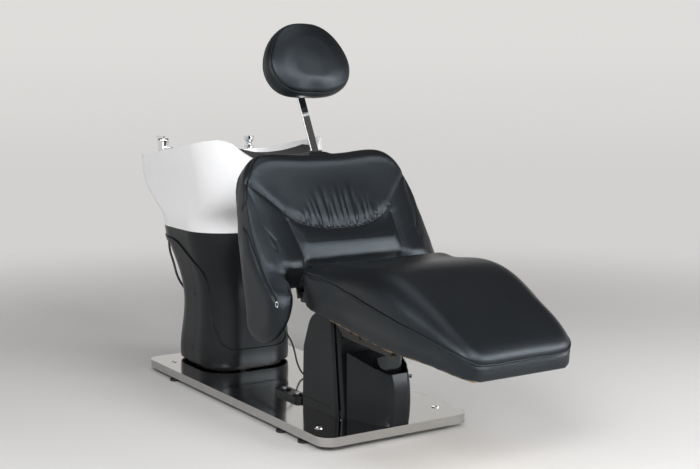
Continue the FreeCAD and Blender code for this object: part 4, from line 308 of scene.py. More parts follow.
@dataclass(frozen=True)
class Ceramic:
    """White glazed sanitary ware."""
    name: str = "white_ceramic"
    colour: tuple = (0.84, 0.845, 0.86)

    def material(self) -> bpy.types.Material:
        """Builds the glaze."""
        shader = Shader(self.name)
        broad = shader.speckle(9.0, 2.0)
        return shader.finish(
            base_color=shader.mix(broad, tint(self.colour), tint(self.colour, 0.975)),
            roughness=0.10 + broad * 0.05, specular_ior_level=0.55, coat_weight=0.6,
            coat_roughness=0.04, normal=shader.relief(broad, 0.0006))


@dataclass(frozen=True)
class BrushedSteel:
    """Sheet steel with long fine brush marks along one axis."""
    name: str
    colour: tuple = (0.60, 0.592, 0.575)
    gloss: float = 0.04
    along: tuple = (1.5, 420.0, 420.0)
    mark_depth: float = 0.000003

    def material(self) -> bpy.types.Material:
        """Builds the steel."""
        shader = Shader(self.name)
        place = shader.stretched(*self.along)
        marks = shader.speckle(1.0, 5.0, 0.7, place)
        cloud = shader.speckle(6.0, 3.0)
        return shader.finish(
            base_color=shader.mix((marks - 0.35).clamped() * 1.4, tint(self.colour, 0.82),
                                  tint(self.colour)),
            metallic=1.0, roughness=self.gloss + marks * 0.07 + cloud * 0.04,
            normal=shader.relief(marks, self.mark_depth))


@dataclass(frozen=True)
class Chrome:
    """Bright plating with the faintest smears."""
    name: str = "chrome"
    colour: tuple = (0.86, 0.87, 0.88)
    gloss: float = 0.06

    def material(self) -> bpy.types.Material:
        """Builds the plating."""
        shader = Shader(self.name)
        smear = shader.speckle(60.0, 3.0)
        return shader.finish(
            base_color=shader.mix(smear, tint(self.colour), tint(self.colour, 0.93)),
            metallic=1.0, roughness=self.gloss + smear * 0.05)


@dataclass(frozen=True)
class PaintedSteel:
    """Powder coated structural steel with a slight orange peel."""
    name: str
    colour: tuple = (0.018, 0.018, 0.020)
    gloss: float = 0.45

    def material(self) -> bpy.types.Material:
        """Builds the paint."""
        shader = Shader(self.name)
        cloud = shader.speckle(14.0, 4.0, 0.6)
        peel = shader.speckle(700.0, 1.0)
        return shader.finish(
            base_color=shader.mix(cloud, tint(self.colour), tint(self.colour, 1.5, 0.004)),
            roughness=self.gloss - 0.06 + cloud * 0.16, normal=shader.relief(peel, 0.00006))


@dataclass(frozen=True)
class Rubber:
    """Soft black rubber, slightly dusty."""
    name: str = "black_rubber"
    colour: tuple = (0.012, 0.012, 0.013)
    gloss: float = 0.5

    def material(self) -> bpy.types.Material:
        """Builds the rubber."""
        shader = Shader(self.name)
        dust = shader.speckle(45.0, 4.0, 0.65)
        fine = shader.speckle(1900.0, 1.0)
        return shader.finish(
            base_color=shader.mix(dust * 0.6, tint(self.colour), tint(self.colour, 1.8, 0.002)),
            roughness=self.gloss + dust * 0.15, specular_ior_level=0.45,
            normal=shader.relief(fine, 0.00005))


@dataclass(frozen=True)
class Plywood:
    """Bare plywood: pale veneer with dark glue lines through its thickness."""
    name: str = "plywood"
    pale: tuple = (0.52, 0.37, 0.22)
    dark: tuple = (0.34, 0.22, 0.12)

    def material(self) -> bpy.types.Material:
        """Builds the wood."""
        shader = Shader(self.name)
        grain = shader.speckle(1.0, 6.0, 0.62, shader.stretched(9.0, 130.0, 130.0))
        figure = shader.speckle(1.0, 3.0, 0.5, shader.stretched(3.0, 24.0, 24.0))
        return shader.finish(
            base_color=shader.mix((grain * 0.7 + figure * 0.5 - 0.2).clamped(),
                                  tint(self.pale), tint(self.dark)),
            roughness=0.58 + grain * 0.12, normal=shader.relief(grain, 0.0001))


class Finish(Enum):
    """The finishes of the bed, by the part of it that they cover."""
    LEATHER = Leather()
    PIPING = Leather(name="leather_piping", gloss=0.32, grain_per_metre=1100.0)
    SHELL = Plastic(name="black_shell", colour=(0.0085, 0.0092, 0.0102))
    GLOSS_TRIM = Plastic(name="black_trim", colour=(0.008, 0.008, 0.009), gloss=0.14, shine=0.5)
    PIPES = Plastic(name="grey_pipes", colour=(0.62, 0.62, 0.61), gloss=0.42, shine=0.5)
    CERAMIC = Ceramic()
    PLATE = BrushedSteel(name="brushed_plate")
    STEEL = BrushedSteel(name="plain_steel", colour=(0.52, 0.52, 0.53), gloss=0.24,
                         along=(60.0, 60.0, 60.0))
    CHROME = Chrome()
    FRAME = PaintedSteel(name="frame_steel", colour=(0.016, 0.0145, 0.0105))
    BLACK_STEEL = PaintedSteel(name="black_steel")
    RUBBER = Rubber()
    HOSE = Rubber(name="hose_rubber", colour=(0.016, 0.016, 0.017), gloss=0.34)
    PLYWOOD = Plywood()
    THREAD = Rubber(name="sewing_thread", colour=(0.030, 0.031, 0.034), gloss=0.42)


class Workshop:
    """Makes each finish once and gives it to pieces."""

    def __init__(self) -> None:
        """Starts with no finish made."""
        self.made: dict = {}

    def get(self, finish: Finish) -> bpy.types.Material:
        """The material of a finish."""
        if finish not in self.made:
            self.made[finish] = finish.value.material()
        return self.made[finish]

    def dress(self, piece: bpy.types.Object, finish: Finish) -> None:
        """Puts one finish on the whole of a mesh or curve."""
        piece.data.materials.clear()
        piece.data.materials.append(self.get(finish))


def linked(name: str, data: bpy.types.ID) -> bpy.types.Object:
    """Puts something into the scene.

    Args:
        name: its name there.
        data: its mesh, curve, lamp or camera.

    Returns:
        The new object.
    """
    thing = bpy.data.objects.new(name, data)
    bpy.context.scene.collection.objects.link(thing)
    return thing


def new_piece(name: str, mesh: bpy.types.Mesh) -> bpy.types.Object:
    """Puts a mesh into the scene as a smoothly shaded piece.

    Args:
        name: the piece's name.
        mesh: its mesh, in metres in the row frame.

    Returns:
        The new object.
    """
    piece = linked(name, mesh)
    mesh.shade_smooth()
    return piece


def surface_of(mesh: bpy.types.Mesh) -> BVHTree:
    """A mesh's surface as it is now, for finding places on it."""
    return BVHTree.FromPolygons([point.co for point in mesh.vertices],
                                [face.vertices for face in mesh.polygons])


def tube(name: str, points: Sequence[Vector], radius: float, sides: int, steps: int,
         closed: bool = False) -> bpy.types.Object:
    """A round tube along a smooth curve.

    Args:
        name: the tube's name.
        points: the points that draw the curve, in metres.
        radius: its radius in metres.
        sides: how finely it is rounded across.
        steps: how finely it is cut between two points.
        closed: whether its end meets its start.

    Returns:
        The tube, as a curve.
    """
    curve = bpy.data.curves.new(name, "CURVE")
    curve.dimensions = "3D"
    curve.bevel_depth = radius
    curve.bevel_resolution = sides
    curve.resolution_u = steps
    curve.use_fill_caps = True
    spline = curve.splines.new("NURBS")
    spline.points.add(len(points) - 1)
    for spot, point in zip(spline.points, points):
        spot.co = (*point, 1.0)
    spline.use_cyclic_u = closed
    spline.order_u = 3
    spline.use_endpoint_u = not closed
    return linked(name, curve)


def thread(name: str, points: Sequence[Vector], radius: float,
           closed: bool = False) -> bpy.types.Object:
    """A thin round cord, such as piping, as a mesh.

    Args:
        name: the piece's name.
        points: the line it follows, in metres.
        radius: its radius in metres.
        closed: whether its end meets its start.

    Returns:
        The new piece.
    """
    holder = tube(name + "_line", points, radius, 3, 6, closed)
    graph = bpy.context.evaluated_depsgraph_get()
    mesh = bpy.data.meshes.new_from_object(holder.evaluated_get(graph))
    curve = holder.data
    bpy.data.objects.remove(holder)
    bpy.data.curves.remove(curve)
    return new_piece(name, mesh)


class Skin:
    """The points of a soft piece as arrays, so that they can be moved by hand."""

    def __init__(self, piece: bpy.types.Object) -> None:
        """Reads the points of a piece and their normals."""
        self.piece = piece
        self.spots = self._read("co")
        self.normals = self._read("normal")

    def _read(self, field: str) -> np.ndarray:
        """One vector of every point."""
        points = self.piece.data.vertices
        flat = np.empty(len(points) * 3, np.float32)
        points.foreach_get(field, flat)
        return flat.reshape(-1, 3).astype(np.float64)

    def write(self) -> None:
        """Puts the points back into the mesh."""
        mesh = self.piece.data
        mesh.vertices.foreach_set("co", self.spots.astype(np.float32).ravel())
        mesh.update()
        self.normals = self._read("normal")

    def raise_by(self, rise: np.ndarray) -> None:
        """Moves every point along its normal, in metres, outwards where positive."""
        self.spots += self.normals * rise[:, None]
        self.write()

    def ease(self, share: float, rounds: int, where: Optional[np.ndarray] = None) -> None:
        """Smooths the points towards the middle of their neighbours, as spread() does."""
        self.spots = self.spread(self.spots, share, rounds, where)
        self.write()

    def spread(self, values: np.ndarray, share: float, rounds: int,
               where: Optional[np.ndarray] = None) -> np.ndarray:
        """Evens out one vector of every point with those of its neighbours.

        Args:
            values: the vectors.
            share: how far they go each round.
            rounds: how many rounds.
            where: how much of the change each point takes.

        Returns:
            The evened vectors.
        """
        mesh = self.piece.data
        ends = np.empty(len(mesh.edges) * 2, np.int64)
        mesh.edges.foreach_get("vertices", ends)
        first, last = ends.reshape(-1, 2).T
        count = np.zeros(len(self.spots))
        np.add.at(count, first, 1.0)
        np.add.at(count, last, 1.0)
        values = values.copy()
        for _ in range(rounds):
            total = np.zeros_like(values)
            np.add.at(total, first, values[last])
            np.add.at(total, last, values[first])
            move = (total / np.maximum(count, 1.0)[:, None] - values) * share
            values += move if where is None else move * where[:, None]
        return values


def reach(spots: np.ndarray, line: Sequence[Vector]) -> tuple:
    """Distance of points from a line, and how far along it the nearest place lies.

    Args:
        spots: the points, in metres.
        line: the line's corners, in metres.

    Returns:
        The distances, and the lengths along the line.
    """
    best = np.full(len(spots), 1e9)
    along = np.zeros(len(spots))
    run = 0.0
    for first, last in zip(line, line[1:]):
        step = np.array(last - first)
        length = max(float(np.linalg.norm(step)), 1e-9)
        share = np.clip((spots - np.array(first)) @ step / length ** 2, 0.0, 1.0)
        gap = np.linalg.norm(spots - np.array(first) - share[:, None] * step, axis=1)
        nearer = gap < best
        best[nearer] = gap[nearer]
        along[nearer] = run + share[nearer] * length
        run += length
    return best, along


def bell(value: np.ndarray, width: float) -> np.ndarray:
    """A smooth hump: 1 at zero, about a third at the width."""
    return np.exp(-(value / width) ** 2)


def step_between(value: np.ndarray, low: float, high: float) -> np.ndarray:
    """0 up to low, 1 from high, smooth between."""
    share = np.clip((value - low) / (high - low), 0.0, 1.0)
    return share * share * (3.0 - 2.0 * share)


def rounded_line(corners: Sequence[Vector], pieces: int = 8) -> list:
    """A smooth line through corners.

    Args:
        corners: the places it goes through.
        pieces: how many steps each run is cut into.

    Returns:
        Its points.
    """
    ends = [corners[0] * 2 - corners[1]] + list(corners) + [corners[-1] * 2 - corners[-2]]
    points = []
    for a, b, c, d in zip(ends, ends[1:], ends[2:], ends[3:]):
        for step in range(pieces):
            t = step / pieces
            points.append((b * 2 + (c - a) * t + (a * 2 - b * 5 + c * 4 - d) * t * t
                           + (b * 3 - a - c * 3 + d) * t ** 3) / 2)
    points.append(corners[-1].copy())
    return points


def laid_on(tree: BVHTree, line: Sequence[Vector], lift: float = 0.0) -> list:
    """A line pulled onto a surface.

    Args:
        tree: the surface.
        line: points near it.
        lift: how far they stay above it, in metres.

    Returns:
        The points on the surface.
    """
    nearest = [tree.find_nearest(spot) for spot in line]
    return [place + normal * lift for place, normal, _, _ in nearest]


def seen_from(tree: BVHTree, corners: Sequence[Vector], way: Vector) -> list:
    """Places on a surface that lie straight behind the given ones.

    Args:
        tree: the surface.
        corners: points that give two of the three coordinates.
        way: the direction of sight.

    Returns:
        The points on the surface, or the nearest ones where nothing is hit.
    """
    points = []
    for spot in corners:
        place = tree.ray_cast(spot - way, way)[0]
        points.append(tree.find_nearest(spot)[0] if place is None else place)
    return points


@dataclass
class Pad:
    """One stuffed leather piece that stands for one soft solid."""
    node: str
    body: str
    beside: tuple
    voxel: float = 0.006
    shrink: float = 0.005
    cap: float = 0.010
    pressure: float = 4.0
    fill: float = 0.85
    proud: float = 0.003
    eased: int = 2
    crumple: float = 0.03
    evened: int = 2
    piece: Optional[bpy.types.Object] = None

    def cut(self, frame: dict) -> None:
        """Cuts the cover from the solid: even cloth, a little smaller all round.

        Args:
            frame: the loaded frame.
        """
        source = frame["nodes"][self.node].data
        self.solid = surface_of(source)
        mesh = source.copy()
        sheet = bmesh.new()
        sheet.from_mesh(mesh)
        bmesh.ops.remove_doubles(sheet, verts=sheet.verts, dist=0.00005)
        sheet.to_mesh(mesh)
        sheet.free()
        self.piece = new_piece(self.node + "_cover", mesh)
        even = self.piece.modifiers.new("even", "REMESH")
        even.mode = "VOXEL"
        even.voxel_size = self.voxel
        self.settle()
        self.walls = [surface_of(frame["nodes"][name].data) for name in self.beside]
        skin = Skin(self.piece)
        skin.ease(0.5, self.eased)
        self.free = self.freedom(skin)
        skin.raise_by(-self.shrink * (0.12 + 0.88 * self.free))
        self.start = skin.spots.copy()

    def smooth_front(self, way: Vector, rounds: int) -> None:
        """Evens out the face that looks one way, before the pad is stuffed.

        Args:
            way: the direction that the face looks in.
            rounds: how many rounds of smoothing.
        """
        skin = Skin(self.piece)
        facing = step_between(skin.normals @ np.array(way), 0.72, 0.90)
        skin.ease(0.5, rounds, facing)
        self.free = np.maximum(self.free, facing)
        self.start = skin.spots.copy()

    def freedom(self, skin: Skin) -> np.ndarray:
        """How free each point is to swell: none where it rests on what carries it.

        Args:
            skin: the cover's surface.

        Returns:
            From 0, held fast, to 1, free.
        """
        free = np.ones(len(skin.spots))
        for number, spot in enumerate(skin.spots):
            for wall in self.walls:
                place, _, _, gap = wall.find_nearest(Vector(spot), 0.03)
                if place is not None:
                    free[number] = min(free[number], max(0.0, (gap - 0.008) / 0.02))
        return step_between(free, 0.0, 1.0)

    def settle(self) -> None:
        """Makes the piece's modifiers its real shape."""
        graph = bpy.context.evaluated_depsgraph_get()
        mesh = bpy.data.meshes.new_from_object(self.piece.evaluated_get(graph))
        self.piece.modifiers.clear()
        self.piece.data = mesh
        mesh.shade_smooth()

    def stuff(self) -> None:
        """Puts air under the cover, for the simulation."""
        cloth = self.piece.modifiers.new("stuffing", "CLOTH")
        settings = cloth.settings
        settings.quality = 4
        settings.mass = 0.3
        settings.tension_stiffness = settings.compression_stiffness = 12.0
        settings.shear_stiffness = 6.0
        settings.bending_stiffness = 1.5
        settings.use_pressure = True
        settings.uniform_pressure_force = self.pressure
        settings.effector_weights.gravity = 0.0
        cloth.collision_settings.use_collision = False
        cloth.point_cache.frame_start = 1
        cloth.point_cache.frame_end = AIR_FRAMES

    def fix(self) -> None:
        """Keeps the swollen shape, within its cap and clear of its neighbours."""
        self.settle()
        skin = Skin(self.piece)
        move = skin.spots - self.start
        move = move * self.crumple + skin.spread(move, 0.5, 80) * (1.0 - self.crumple)
        length = np.maximum(np.linalg.norm(move, axis=1), 1e-9)
        held = np.minimum(length, self.cap) / length * self.free
        skin.spots = self.start + move * held[:, None]
        skin.write()
        skin.ease(0.5, self.evened)
        finer = self.piece.modifiers.new("finer", "SUBSURF")
        finer.levels = finer.render_levels = 1
        self.settle()
        self.hold()

    def hold(self) -> None:
        """Keeps every point within the solid, but for the little that leather stands proud."""
        skin = Skin(self.piece)
        for number, spot in enumerate(skin.spots):
            place, normal, _, gap = self.solid.find_nearest(Vector(spot))
            away = (Vector(spot) - place).dot(normal)
            most = self.proud if normal.x > -0.3 else 0.0
            if away > most:
                skin.spots[number] = place + (Vector(spot) - place) * (most / gap)
        skin.write()


@dataclass(frozen=True)
class Cord:
    """A hose or lead that leaves the bed and goes back into it."""
    node: str
    corners: tuple
    radius: float
    length: float
    stiffness: str
    lay: str

    def build(self, workshop: Workshop) -> None:
        """Runs one smooth tube along the corners.

        Args:
            workshop: where the finishes are made.
        """
        points = [at(*corner) for corner in self.corners]
        piece = tube(self.node + "_run", points, self.radius * MM, 5, 16)
        workshop.dress(piece, Finish.HOSE)
        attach(piece, "base")
        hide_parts(self.node)


CORDS = (
    Cord("shower_hose", ((-690, -146, 606), (-690, -146, 558), (-690, -156, 500),
                         (-683, -158, 446), (-668, -147, 396), (-655, -141, 346),
                         (-654, -112, 296), (-624, -97, 272)),
         4.5, 0.3623, "medium", "hanging"),
    Cord("power_lead", ((-272.9, 62, 212), (-232, 62, 212), (-185, 60, 200), (-150, 58, 182),
                        (-122, 58, 162), (-104, 60, 128), (-96, 64, 88), (-70, 70, 52),
                        (-20, 76, 49.5), (40, 76, 49.5), (100, 72, 52), (160, 70, 62),
                        (221, 70, 62)),
         3.2, 0.5753, "medium", "loose"),
)


def leaning(side: float, height: float, out: float = 0.0) -> Vector:
    """A point of the backrest's own leaning frame.

    Args:
        side: millimetres across the bed.
        height: millimetres up the backrest from its foot.
        out: millimetres forwards from its rear.

    Returns:
        The point in metres in the row frame.
    """
    cosine, sine = math.cos(BACK_LEAN), math.sin(BACK_LEAN)
    return at(BACK_FOOT[0] + out * cosine - height * sine, side,
              BACK_FOOT[1] + out * sine + height * cosine)


def mirrored(half: Sequence[Vector]) -> list:
    """The same line on the other side of the bed, run backwards."""
    return [Vector((spot.x, -spot.y, spot.z)) for spot in reversed(half)]


def both_sides(half: Sequence[Vector]) -> list:
    """A line that starts in the middle, carried over to the other side."""
    return mirrored(half) + [spot.copy() for spot in half if abs(spot.y) > 1e-6]


GATHER = ((0.0, 640.0), (56.0, 641.0), (100.0, 648.0), (140.0, 658.0), (166.0, 668.0),
          (188.0, 681.0), (204.0, 694.0))
GATHER_SIDES, GATHER_HEIGHTS = np.array(GATHER).T * MM
BACK_EDGE = ((212.0, 433.0), (234.0, 428.0), (256.0, 415.0),
             (283.0, 386.0), (304.0, 340.0), (321.0, 284.0), (332.0, 210.0), (336.0, 120.0),
             (336.0, 40.0), (335.0, -20.0), (333.0, -52.0))
SEAT_EDGE = ((484.0, 262.0, 533.0), (545.0, 267.0, 528.0), (622.8, 264.6, 522.5),
             (756.5, 257.9, 499.3), (890.2, 252.5, 472.3), (970.4, 247.9, 455.3),
             (1073.6, 232.7, 432.9), (1169.1, 213.3, 407.2), (1210.0, 192.0, 391.0),
             (1228.0, 160.0, 377.0), (1234.0, 110.0, 371.5), (1234.0, 50.0, 371.5),
             (1234.0, 0.0, 371.5))
SIDES = (("near", -1), ("far", 1))


@dataclass(frozen=True)
class Hump:
    """A smooth ridge or valley: where its middle lies, its width and its height in metres."""
    middle: float
    width: float
    height: float = 1.0

    def over(self, value: np.ndarray) -> np.ndarray:
        """Its height at each place."""
        return bell(value - self.middle, self.width) * self.height


LUMBAR_BAND = Hump(0.560, 0.065)
LUMBAR_ROLL = Hump(0.600, 0.032, 0.008)
RECESS_HEIGHTS = (0.522, 0.606)
RECESS_DEPTH = 0.026
GATHER_TUCK = Hump(0.0, 0.020, 0.009)
GATHER_VALLEY = Hump(0.0, 0.0035, 0.004)
BOLSTER = Hump(0.268, 0.050, 0.006)
BOLSTER_RUN = Hump(0.60, 0.15)
SWELL = Hump(0.095, 0.060, 0.004)
SWELL_ACROSS = Hump(0.0, 0.15)
STITCH_GROOVE = Hump(0.0, 0.0028, 0.0024)
SEAT_TUCK = Hump(0.0, 0.006, 0.0035)


@dataclass(frozen=True)
class Seam:
    """A seam pressed into the backrest's front on either side."""
    name: str
    plan: tuple
    valley: Hump


SEAMS = (
    Seam("shoulder", ((204.0, 694.0), (229.0, 720.0), (262.0, 750.0), (298.0, 781.0),
                      (334.0, 802.0)), Hump(0.0, 0.012, 0.0035)),
    Seam("side", ((202.0, 672.0), (198.0, 640.0), (193.0, 600.0), (192.0, 560.0),
                  (194.0, 532.0)), Hump(0.0, 0.016, 0.0040)),
)


def fold_plan(seed: int, count: int, longest: float, height: float) -> tuple:
    """Place, width, length, height and lean of gathered folds, longest in the middle.

    Args:
        seed: fixes the small differences between folds.
        count: how many folds.
        longest: length of the longest fold in metres.
        height: height of the highest fold in metres.

    Returns:
        One row for each fold.
    """
    chance = random.Random(seed)
    rows = []
    for number in range(count):
        place = -1.0 + 2.0 * (number + 0.5) / count + chance.uniform(-0.35, 0.35) / count
        share = (1.0 - place * place * 0.75) * chance.uniform(0.55, 1.0)
        rows.append((place, chance.uniform(0.0030, 0.0052), longest * share,
                     height * (0.5 + 0.5 * share), place * 0.10 + chance.uniform(-0.05, 0.05)))
    return tuple(rows)


HEAD_AHEAD = Vector((math.cos(HEAD_LEAN), 0.0, math.sin(HEAD_LEAN)))
BACK_FOLDS = fold_plan(11, 15, 0.155, 0.0085)
SEAT_FOLDS = fold_plan(5, 6, 0.030, 0.0022)


class Upholstery:
    """The leather pads of the lounger, stuffed and sewn."""

    def __init__(self, frame: dict, workshop: Workshop) -> None:
        """Keeps the frame and plans each pad.

        Args:
            frame: the loaded frame.
            workshop: where the finishes are made.
        """
        self.frame = frame
        self.workshop = workshop
        self.seat = Pad("seat_cushion", "seat",
                        ("seat_board", "seat_frame", "recline_hinge_plates"),
                        voxel=0.0065, cap=0.005, evened=8)
        self.back = Pad("backrest_cushion", "backrest",
                        ("backrest_board", "backrest_frame", "backrest_rear_panel",
                         "headrest_sleeve"), voxel=0.0062, shrink=0.006, cap=0.006,
                        proud=0.007, eased=6, evened=5)
        self.head = Pad("headrest_cushion", "headrest", ("headrest_plate",), voxel=0.0045,
                        shrink=0.002, cap=0.005, fill=0.8, proud=0.005, eased=12)
        self.panel = Pad("backrest_rear_panel", "backrest", ("backrest_board", "backrest_frame"),
                         voxel=0.004, shrink=0.001, cap=0.003, fill=0.6)
        self.pads = (self.seat, self.back, self.head, self.panel)

    def build(self) -> None:
        """Makes every pad and its seams."""
        for pad in self.pads:
            pad.cut(self.frame)
            if pad is self.head:
                pad.smooth_front(HEAD_AHEAD, 110)
            pad.stuff()
        for number in range(1, AIR_FRAMES + 1):
            bpy.context.scene.frame_set(number)
        for pad in self.pads:
            pad.fix()
            LOG.info("stuffed %s: %d points", pad.node, len(pad.piece.data.vertices))
        bpy.context.scene.frame_set(1)
        self.sew_back()
        self.sew_seat()
        self.sew_head()
        self.sew_panel()
        for pad in self.pads:
            self.attach(pad.piece, pad.body, Finish.LEATHER)
            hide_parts(pad.node)

    def attach(self, piece: bpy.types.Object, body: str, finish: Finish) -> None:
        """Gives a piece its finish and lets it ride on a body.

        Args:
            piece: the piece.
            body: the body that carries it.
            finish: what it is made of.
        """
        self.workshop.dress(piece, finish)
        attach(piece, body)

    def piping(self, name: str, pad: Pad, line: Sequence[Vector], radius: float,
               closed: bool = False) -> None:
        """Sews a round piping into a groove of a pad.

        Args:
            name: the piping's name.
            pad: the pad it is sewn into.
            line: points near the seam, in metres.
            radius: the piping's radius in metres.
            closed: whether it runs all the way round.
        """
        skin = Skin(pad.piece)
        loop = list(line) + [line[0]] if closed else list(line)
        gap, _ = reach(skin.spots, loop)
        skin.raise_by(-radius * 1.5 * bell(gap, radius * 2.4))
        rail = laid_on(surface_of(pad.piece.data), line, radius * 0.35)
        cord = thread(name, rail, radius, closed)
        self.attach(cord, pad.body, Finish.PIPING)

    def stitches(self, name: str, pad: Pad, line: Sequence[Vector], side: float) -> None:
        """A row of stitches beside a seam.

        Args:
            name: the row's name.
            pad: the pad it is sewn into.
            line: points near the seam, in metres.
            side: how far beside the seam the row lies, in metres, to the left where positive.
        """
        tree = surface_of(pad.piece.data)
        line = laid_on(tree, line)
        size = Matrix.Diagonal((STITCH * 0.36, 0.0005, 0.0004, 1.0))
        sheet = bmesh.new()
        carried = 0.0
        for first, last in zip(line, line[1:]):
            run = last - first
            length = run.length
            if length < 1e-7:
                continue
            way = run / length
            while carried < length:
                place, normal, _, _ = tree.find_nearest(first + way * carried)
                across = normal.cross(way).normalized()
                place, normal, _, _ = tree.find_nearest(place + across * side)
                way_here = (way - normal * way.dot(normal)).normalized()
                turn = Matrix((way_here, normal.cross(way_here), normal)).transposed().to_4x4()
                turn.translation = place + normal * 0.00015
                bmesh.ops.create_icosphere(sheet, subdivisions=1, radius=1.0, matrix=turn @ size)
                carried += STITCH
            carried -= length
        mesh = bpy.data.meshes.new(name)
        sheet.to_mesh(mesh)
        sheet.free()
        row = new_piece(name, mesh)
        self.attach(row, pad.body, Finish.THREAD)

    def folds(self, skin: Skin, across: np.ndarray, above: np.ndarray, half: float,
              plan: Sequence[tuple]) -> None:
        """Raises gathered folds that fan out from a seam.

        Args:
            skin: the surface.
            across: each point's place along the seam.
            above: each point's distance from the seam, on the gathered side.
            half: how far the folds reach to each side of the middle.
            plan: place, width, length, height and lean of each fold.
        """
        rise = np.zeros(len(skin.spots))
        for place, width, length, height, lean in plan:
            spread = width * (1.0 + above / (length * 0.9))
            ridge = bell(across - place * half - lean * above, spread)
            trough = bell(across - place * half - lean * above - spread * 1.9, spread * 0.7)
            fall = np.clip(1.0 - above / length, 0.0, 1.0) ** 1.4
            rise += (ridge - trough * 0.8) * height * fall * (above >= 0.0)
        skin.raise_by(rise * step_between(above, -0.002, 0.004))

    def sew_back(self) -> None:
        """The gathered seam, the shoulder and side seams, the lumbar roll and the piping."""
        pad = self.back
        tree = surface_of(pad.piece.data)
        gather = self.on_front(tree, both_sides([at(900, *spot) for spot in GATHER]))
        seams = [(side, seam, self.on_front(tree, [at(900, spot * sign, height)
                                                   for spot, height in seam.plan]))
                 for side, sign in SIDES for seam in SEAMS]
        self.shape_back(gather, seams)
        pad.hold()
        tree = surface_of(pad.piece.data)
        back_way = (leaning(0, 0, -1.0) - leaning(0, 0, 0.0)).normalized()
        for side, sign in SIDES:
            edge = [leaning(spot * sign, height, 420.0) for spot, height in BACK_EDGE]
            rail = seen_from(tree, rounded_line(edge, 6), back_way)
            self.piping("backrest_piping_%s" % side, pad, rail, 0.0020)
            self.pull_ring(side, rail[-1])
        for side, seam, line in seams:
            self.stitches("backrest_%s_stitches_%s" % (seam.name, side), pad, line, 0.004)
        self.stitches("backrest_gather_stitches", pad, gather, -0.004)

    @staticmethod
    def on_front(tree: BVHTree, corners: Sequence[Vector]) -> list:
        """A smooth line through corners, as it lies on the backrest's front."""
        return seen_from(tree, rounded_line(corners), Vector((-1, 0, 0)))

    def shape_back(self, gather: Sequence[Vector], seams: Sequence[tuple]) -> None:
        """Models the front: the lumbar band, the bolsters, the seams' valleys and the folds.

        Args:
            gather: the gathered seam.
            seams: side, plan and line of every other seam.
        """
        skin = Skin(self.back.piece)
        _, y, z = skin.spots.T
        band = LUMBAR_BAND.over(z) * (1.0 - step_between(np.abs(y), 0.185, 0.235))
        skin.ease(0.5, 90, band * step_between(skin.normals[:, 0], -0.1, 0.2))
        _, y, z = skin.spots.T
        front = step_between(skin.normals[:, 0], 0.0, 0.35)
        above = self.above_gather(skin) / math.cos(BACK_LEAN)
        inside = 1.0 - step_between(np.abs(y), 0.165, 0.205)
        roll = LUMBAR_ROLL.over(z) - GATHER_TUCK.over(above)
        recess = (1.0 - step_between(z, *RECESS_HEIGHTS)) * RECESS_DEPTH
        bolster = BOLSTER.over(np.abs(y)) * BOLSTER_RUN.over(z)
        valley = np.zeros(len(y))
        for _, seam, line in seams:
            gap, _ = reach(skin.spots, line)
            valley += seam.valley.over(gap) + STITCH_GROOVE.over(gap)
        gap, _ = reach(skin.spots, gather)
        valley += GATHER_VALLEY.over(gap)
        swell = SWELL.over(above) * SWELL_ACROSS.over(y)
        skin.raise_by(((roll - recess) * inside + bolster + swell - valley) * front)
        self.folds(skin, y, np.where((np.abs(y) < 0.175) & (front > 0.3), above, -1.0), 0.150,
                   BACK_FOLDS)
        self.puckers(skin, gather)
        skin.ease(0.35, 1)

    @staticmethod
    def above_gather(skin: Skin) -> np.ndarray:
        """How high each point lies above the gathered seam, in metres."""
        return skin.spots[:, 2] - np.interp(np.abs(skin.spots[:, 1]), GATHER_SIDES,
                                            GATHER_HEIGHTS)

    def pull_ring(self, side: str, end: Vector) -> None:
        """The small pull of the zip that closes the cover at the end of its piping.

        Args:
            side: near or far.
            end: the piping's end, in metres.
        """
        middle = end + Vector((0.010, 0.0, -0.011))
        ring = [middle + Vector((0.0, math.cos(turn) * 0.0045, math.sin(turn) * 0.009))
                for turn in (math.pi * step / 6 for step in range(12))]
        pull = thread("zip_pull_%s" % side, ring, 0.0010, True)
        self.workshop.dress(pull, Finish.CHROME)
        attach(pull, "backrest")

    def puckers(self, skin: Skin, gather: Sequence[Vector]) -> None:
        """Small crumples right above the gathered seam.

        Args:
            skin: the backrest's surface.
            gather: the gathered seam.
        """
        gap, along = reach(skin.spots, gather)
        above = self.above_gather(skin)
        wave = np.zeros(len(gap))
        for pitch, share in ((0.0118, 1.0), (0.0071, 0.55), (0.0189, 0.7)):
            wave += share * np.sin(along * 2 * math.pi / pitch + above * 160.0 * share)
        near = bell(above - 0.007, 0.009) * (above > 0.0) * (gap < 0.03)
        middle = 1.0 - step_between(np.abs(skin.spots[:, 1]), 0.135, 0.175)
        skin.raise_by(wave * 0.0019 * near * middle)

    def sew_seat(self) -> None:
        """The seat's edge piping, its stitching and the small gather at its rear."""
        pad = self.seat
        skin = Skin(pad.piece)
        x, y, _ = skin.spots.T
        top = step_between(skin.normals[:, 2], 0.2, 0.6)
        above = x - at(612, 0, 560).x
        width = 1 - step_between(np.abs(y), 0.085, 0.12)
        skin.raise_by(-SEAT_TUCK.over(above) * width * top)
        gathered = np.where((np.abs(y) < 0.1) & (top > 0.3), above, -1.0)
        self.folds(skin, y, gathered, 0.08, SEAT_FOLDS)
        pad.hold()
        line = rounded_line([at(*spot) for spot in SEAT_EDGE], 6)
        line += mirrored(line)[1:]
        self.piping("seat_piping", pad, line, 0.0030)
        for number, side in enumerate((0.0062, 0.0105), 1):
            self.stitches("seat_stitches_%d" % number, pad, line, side)

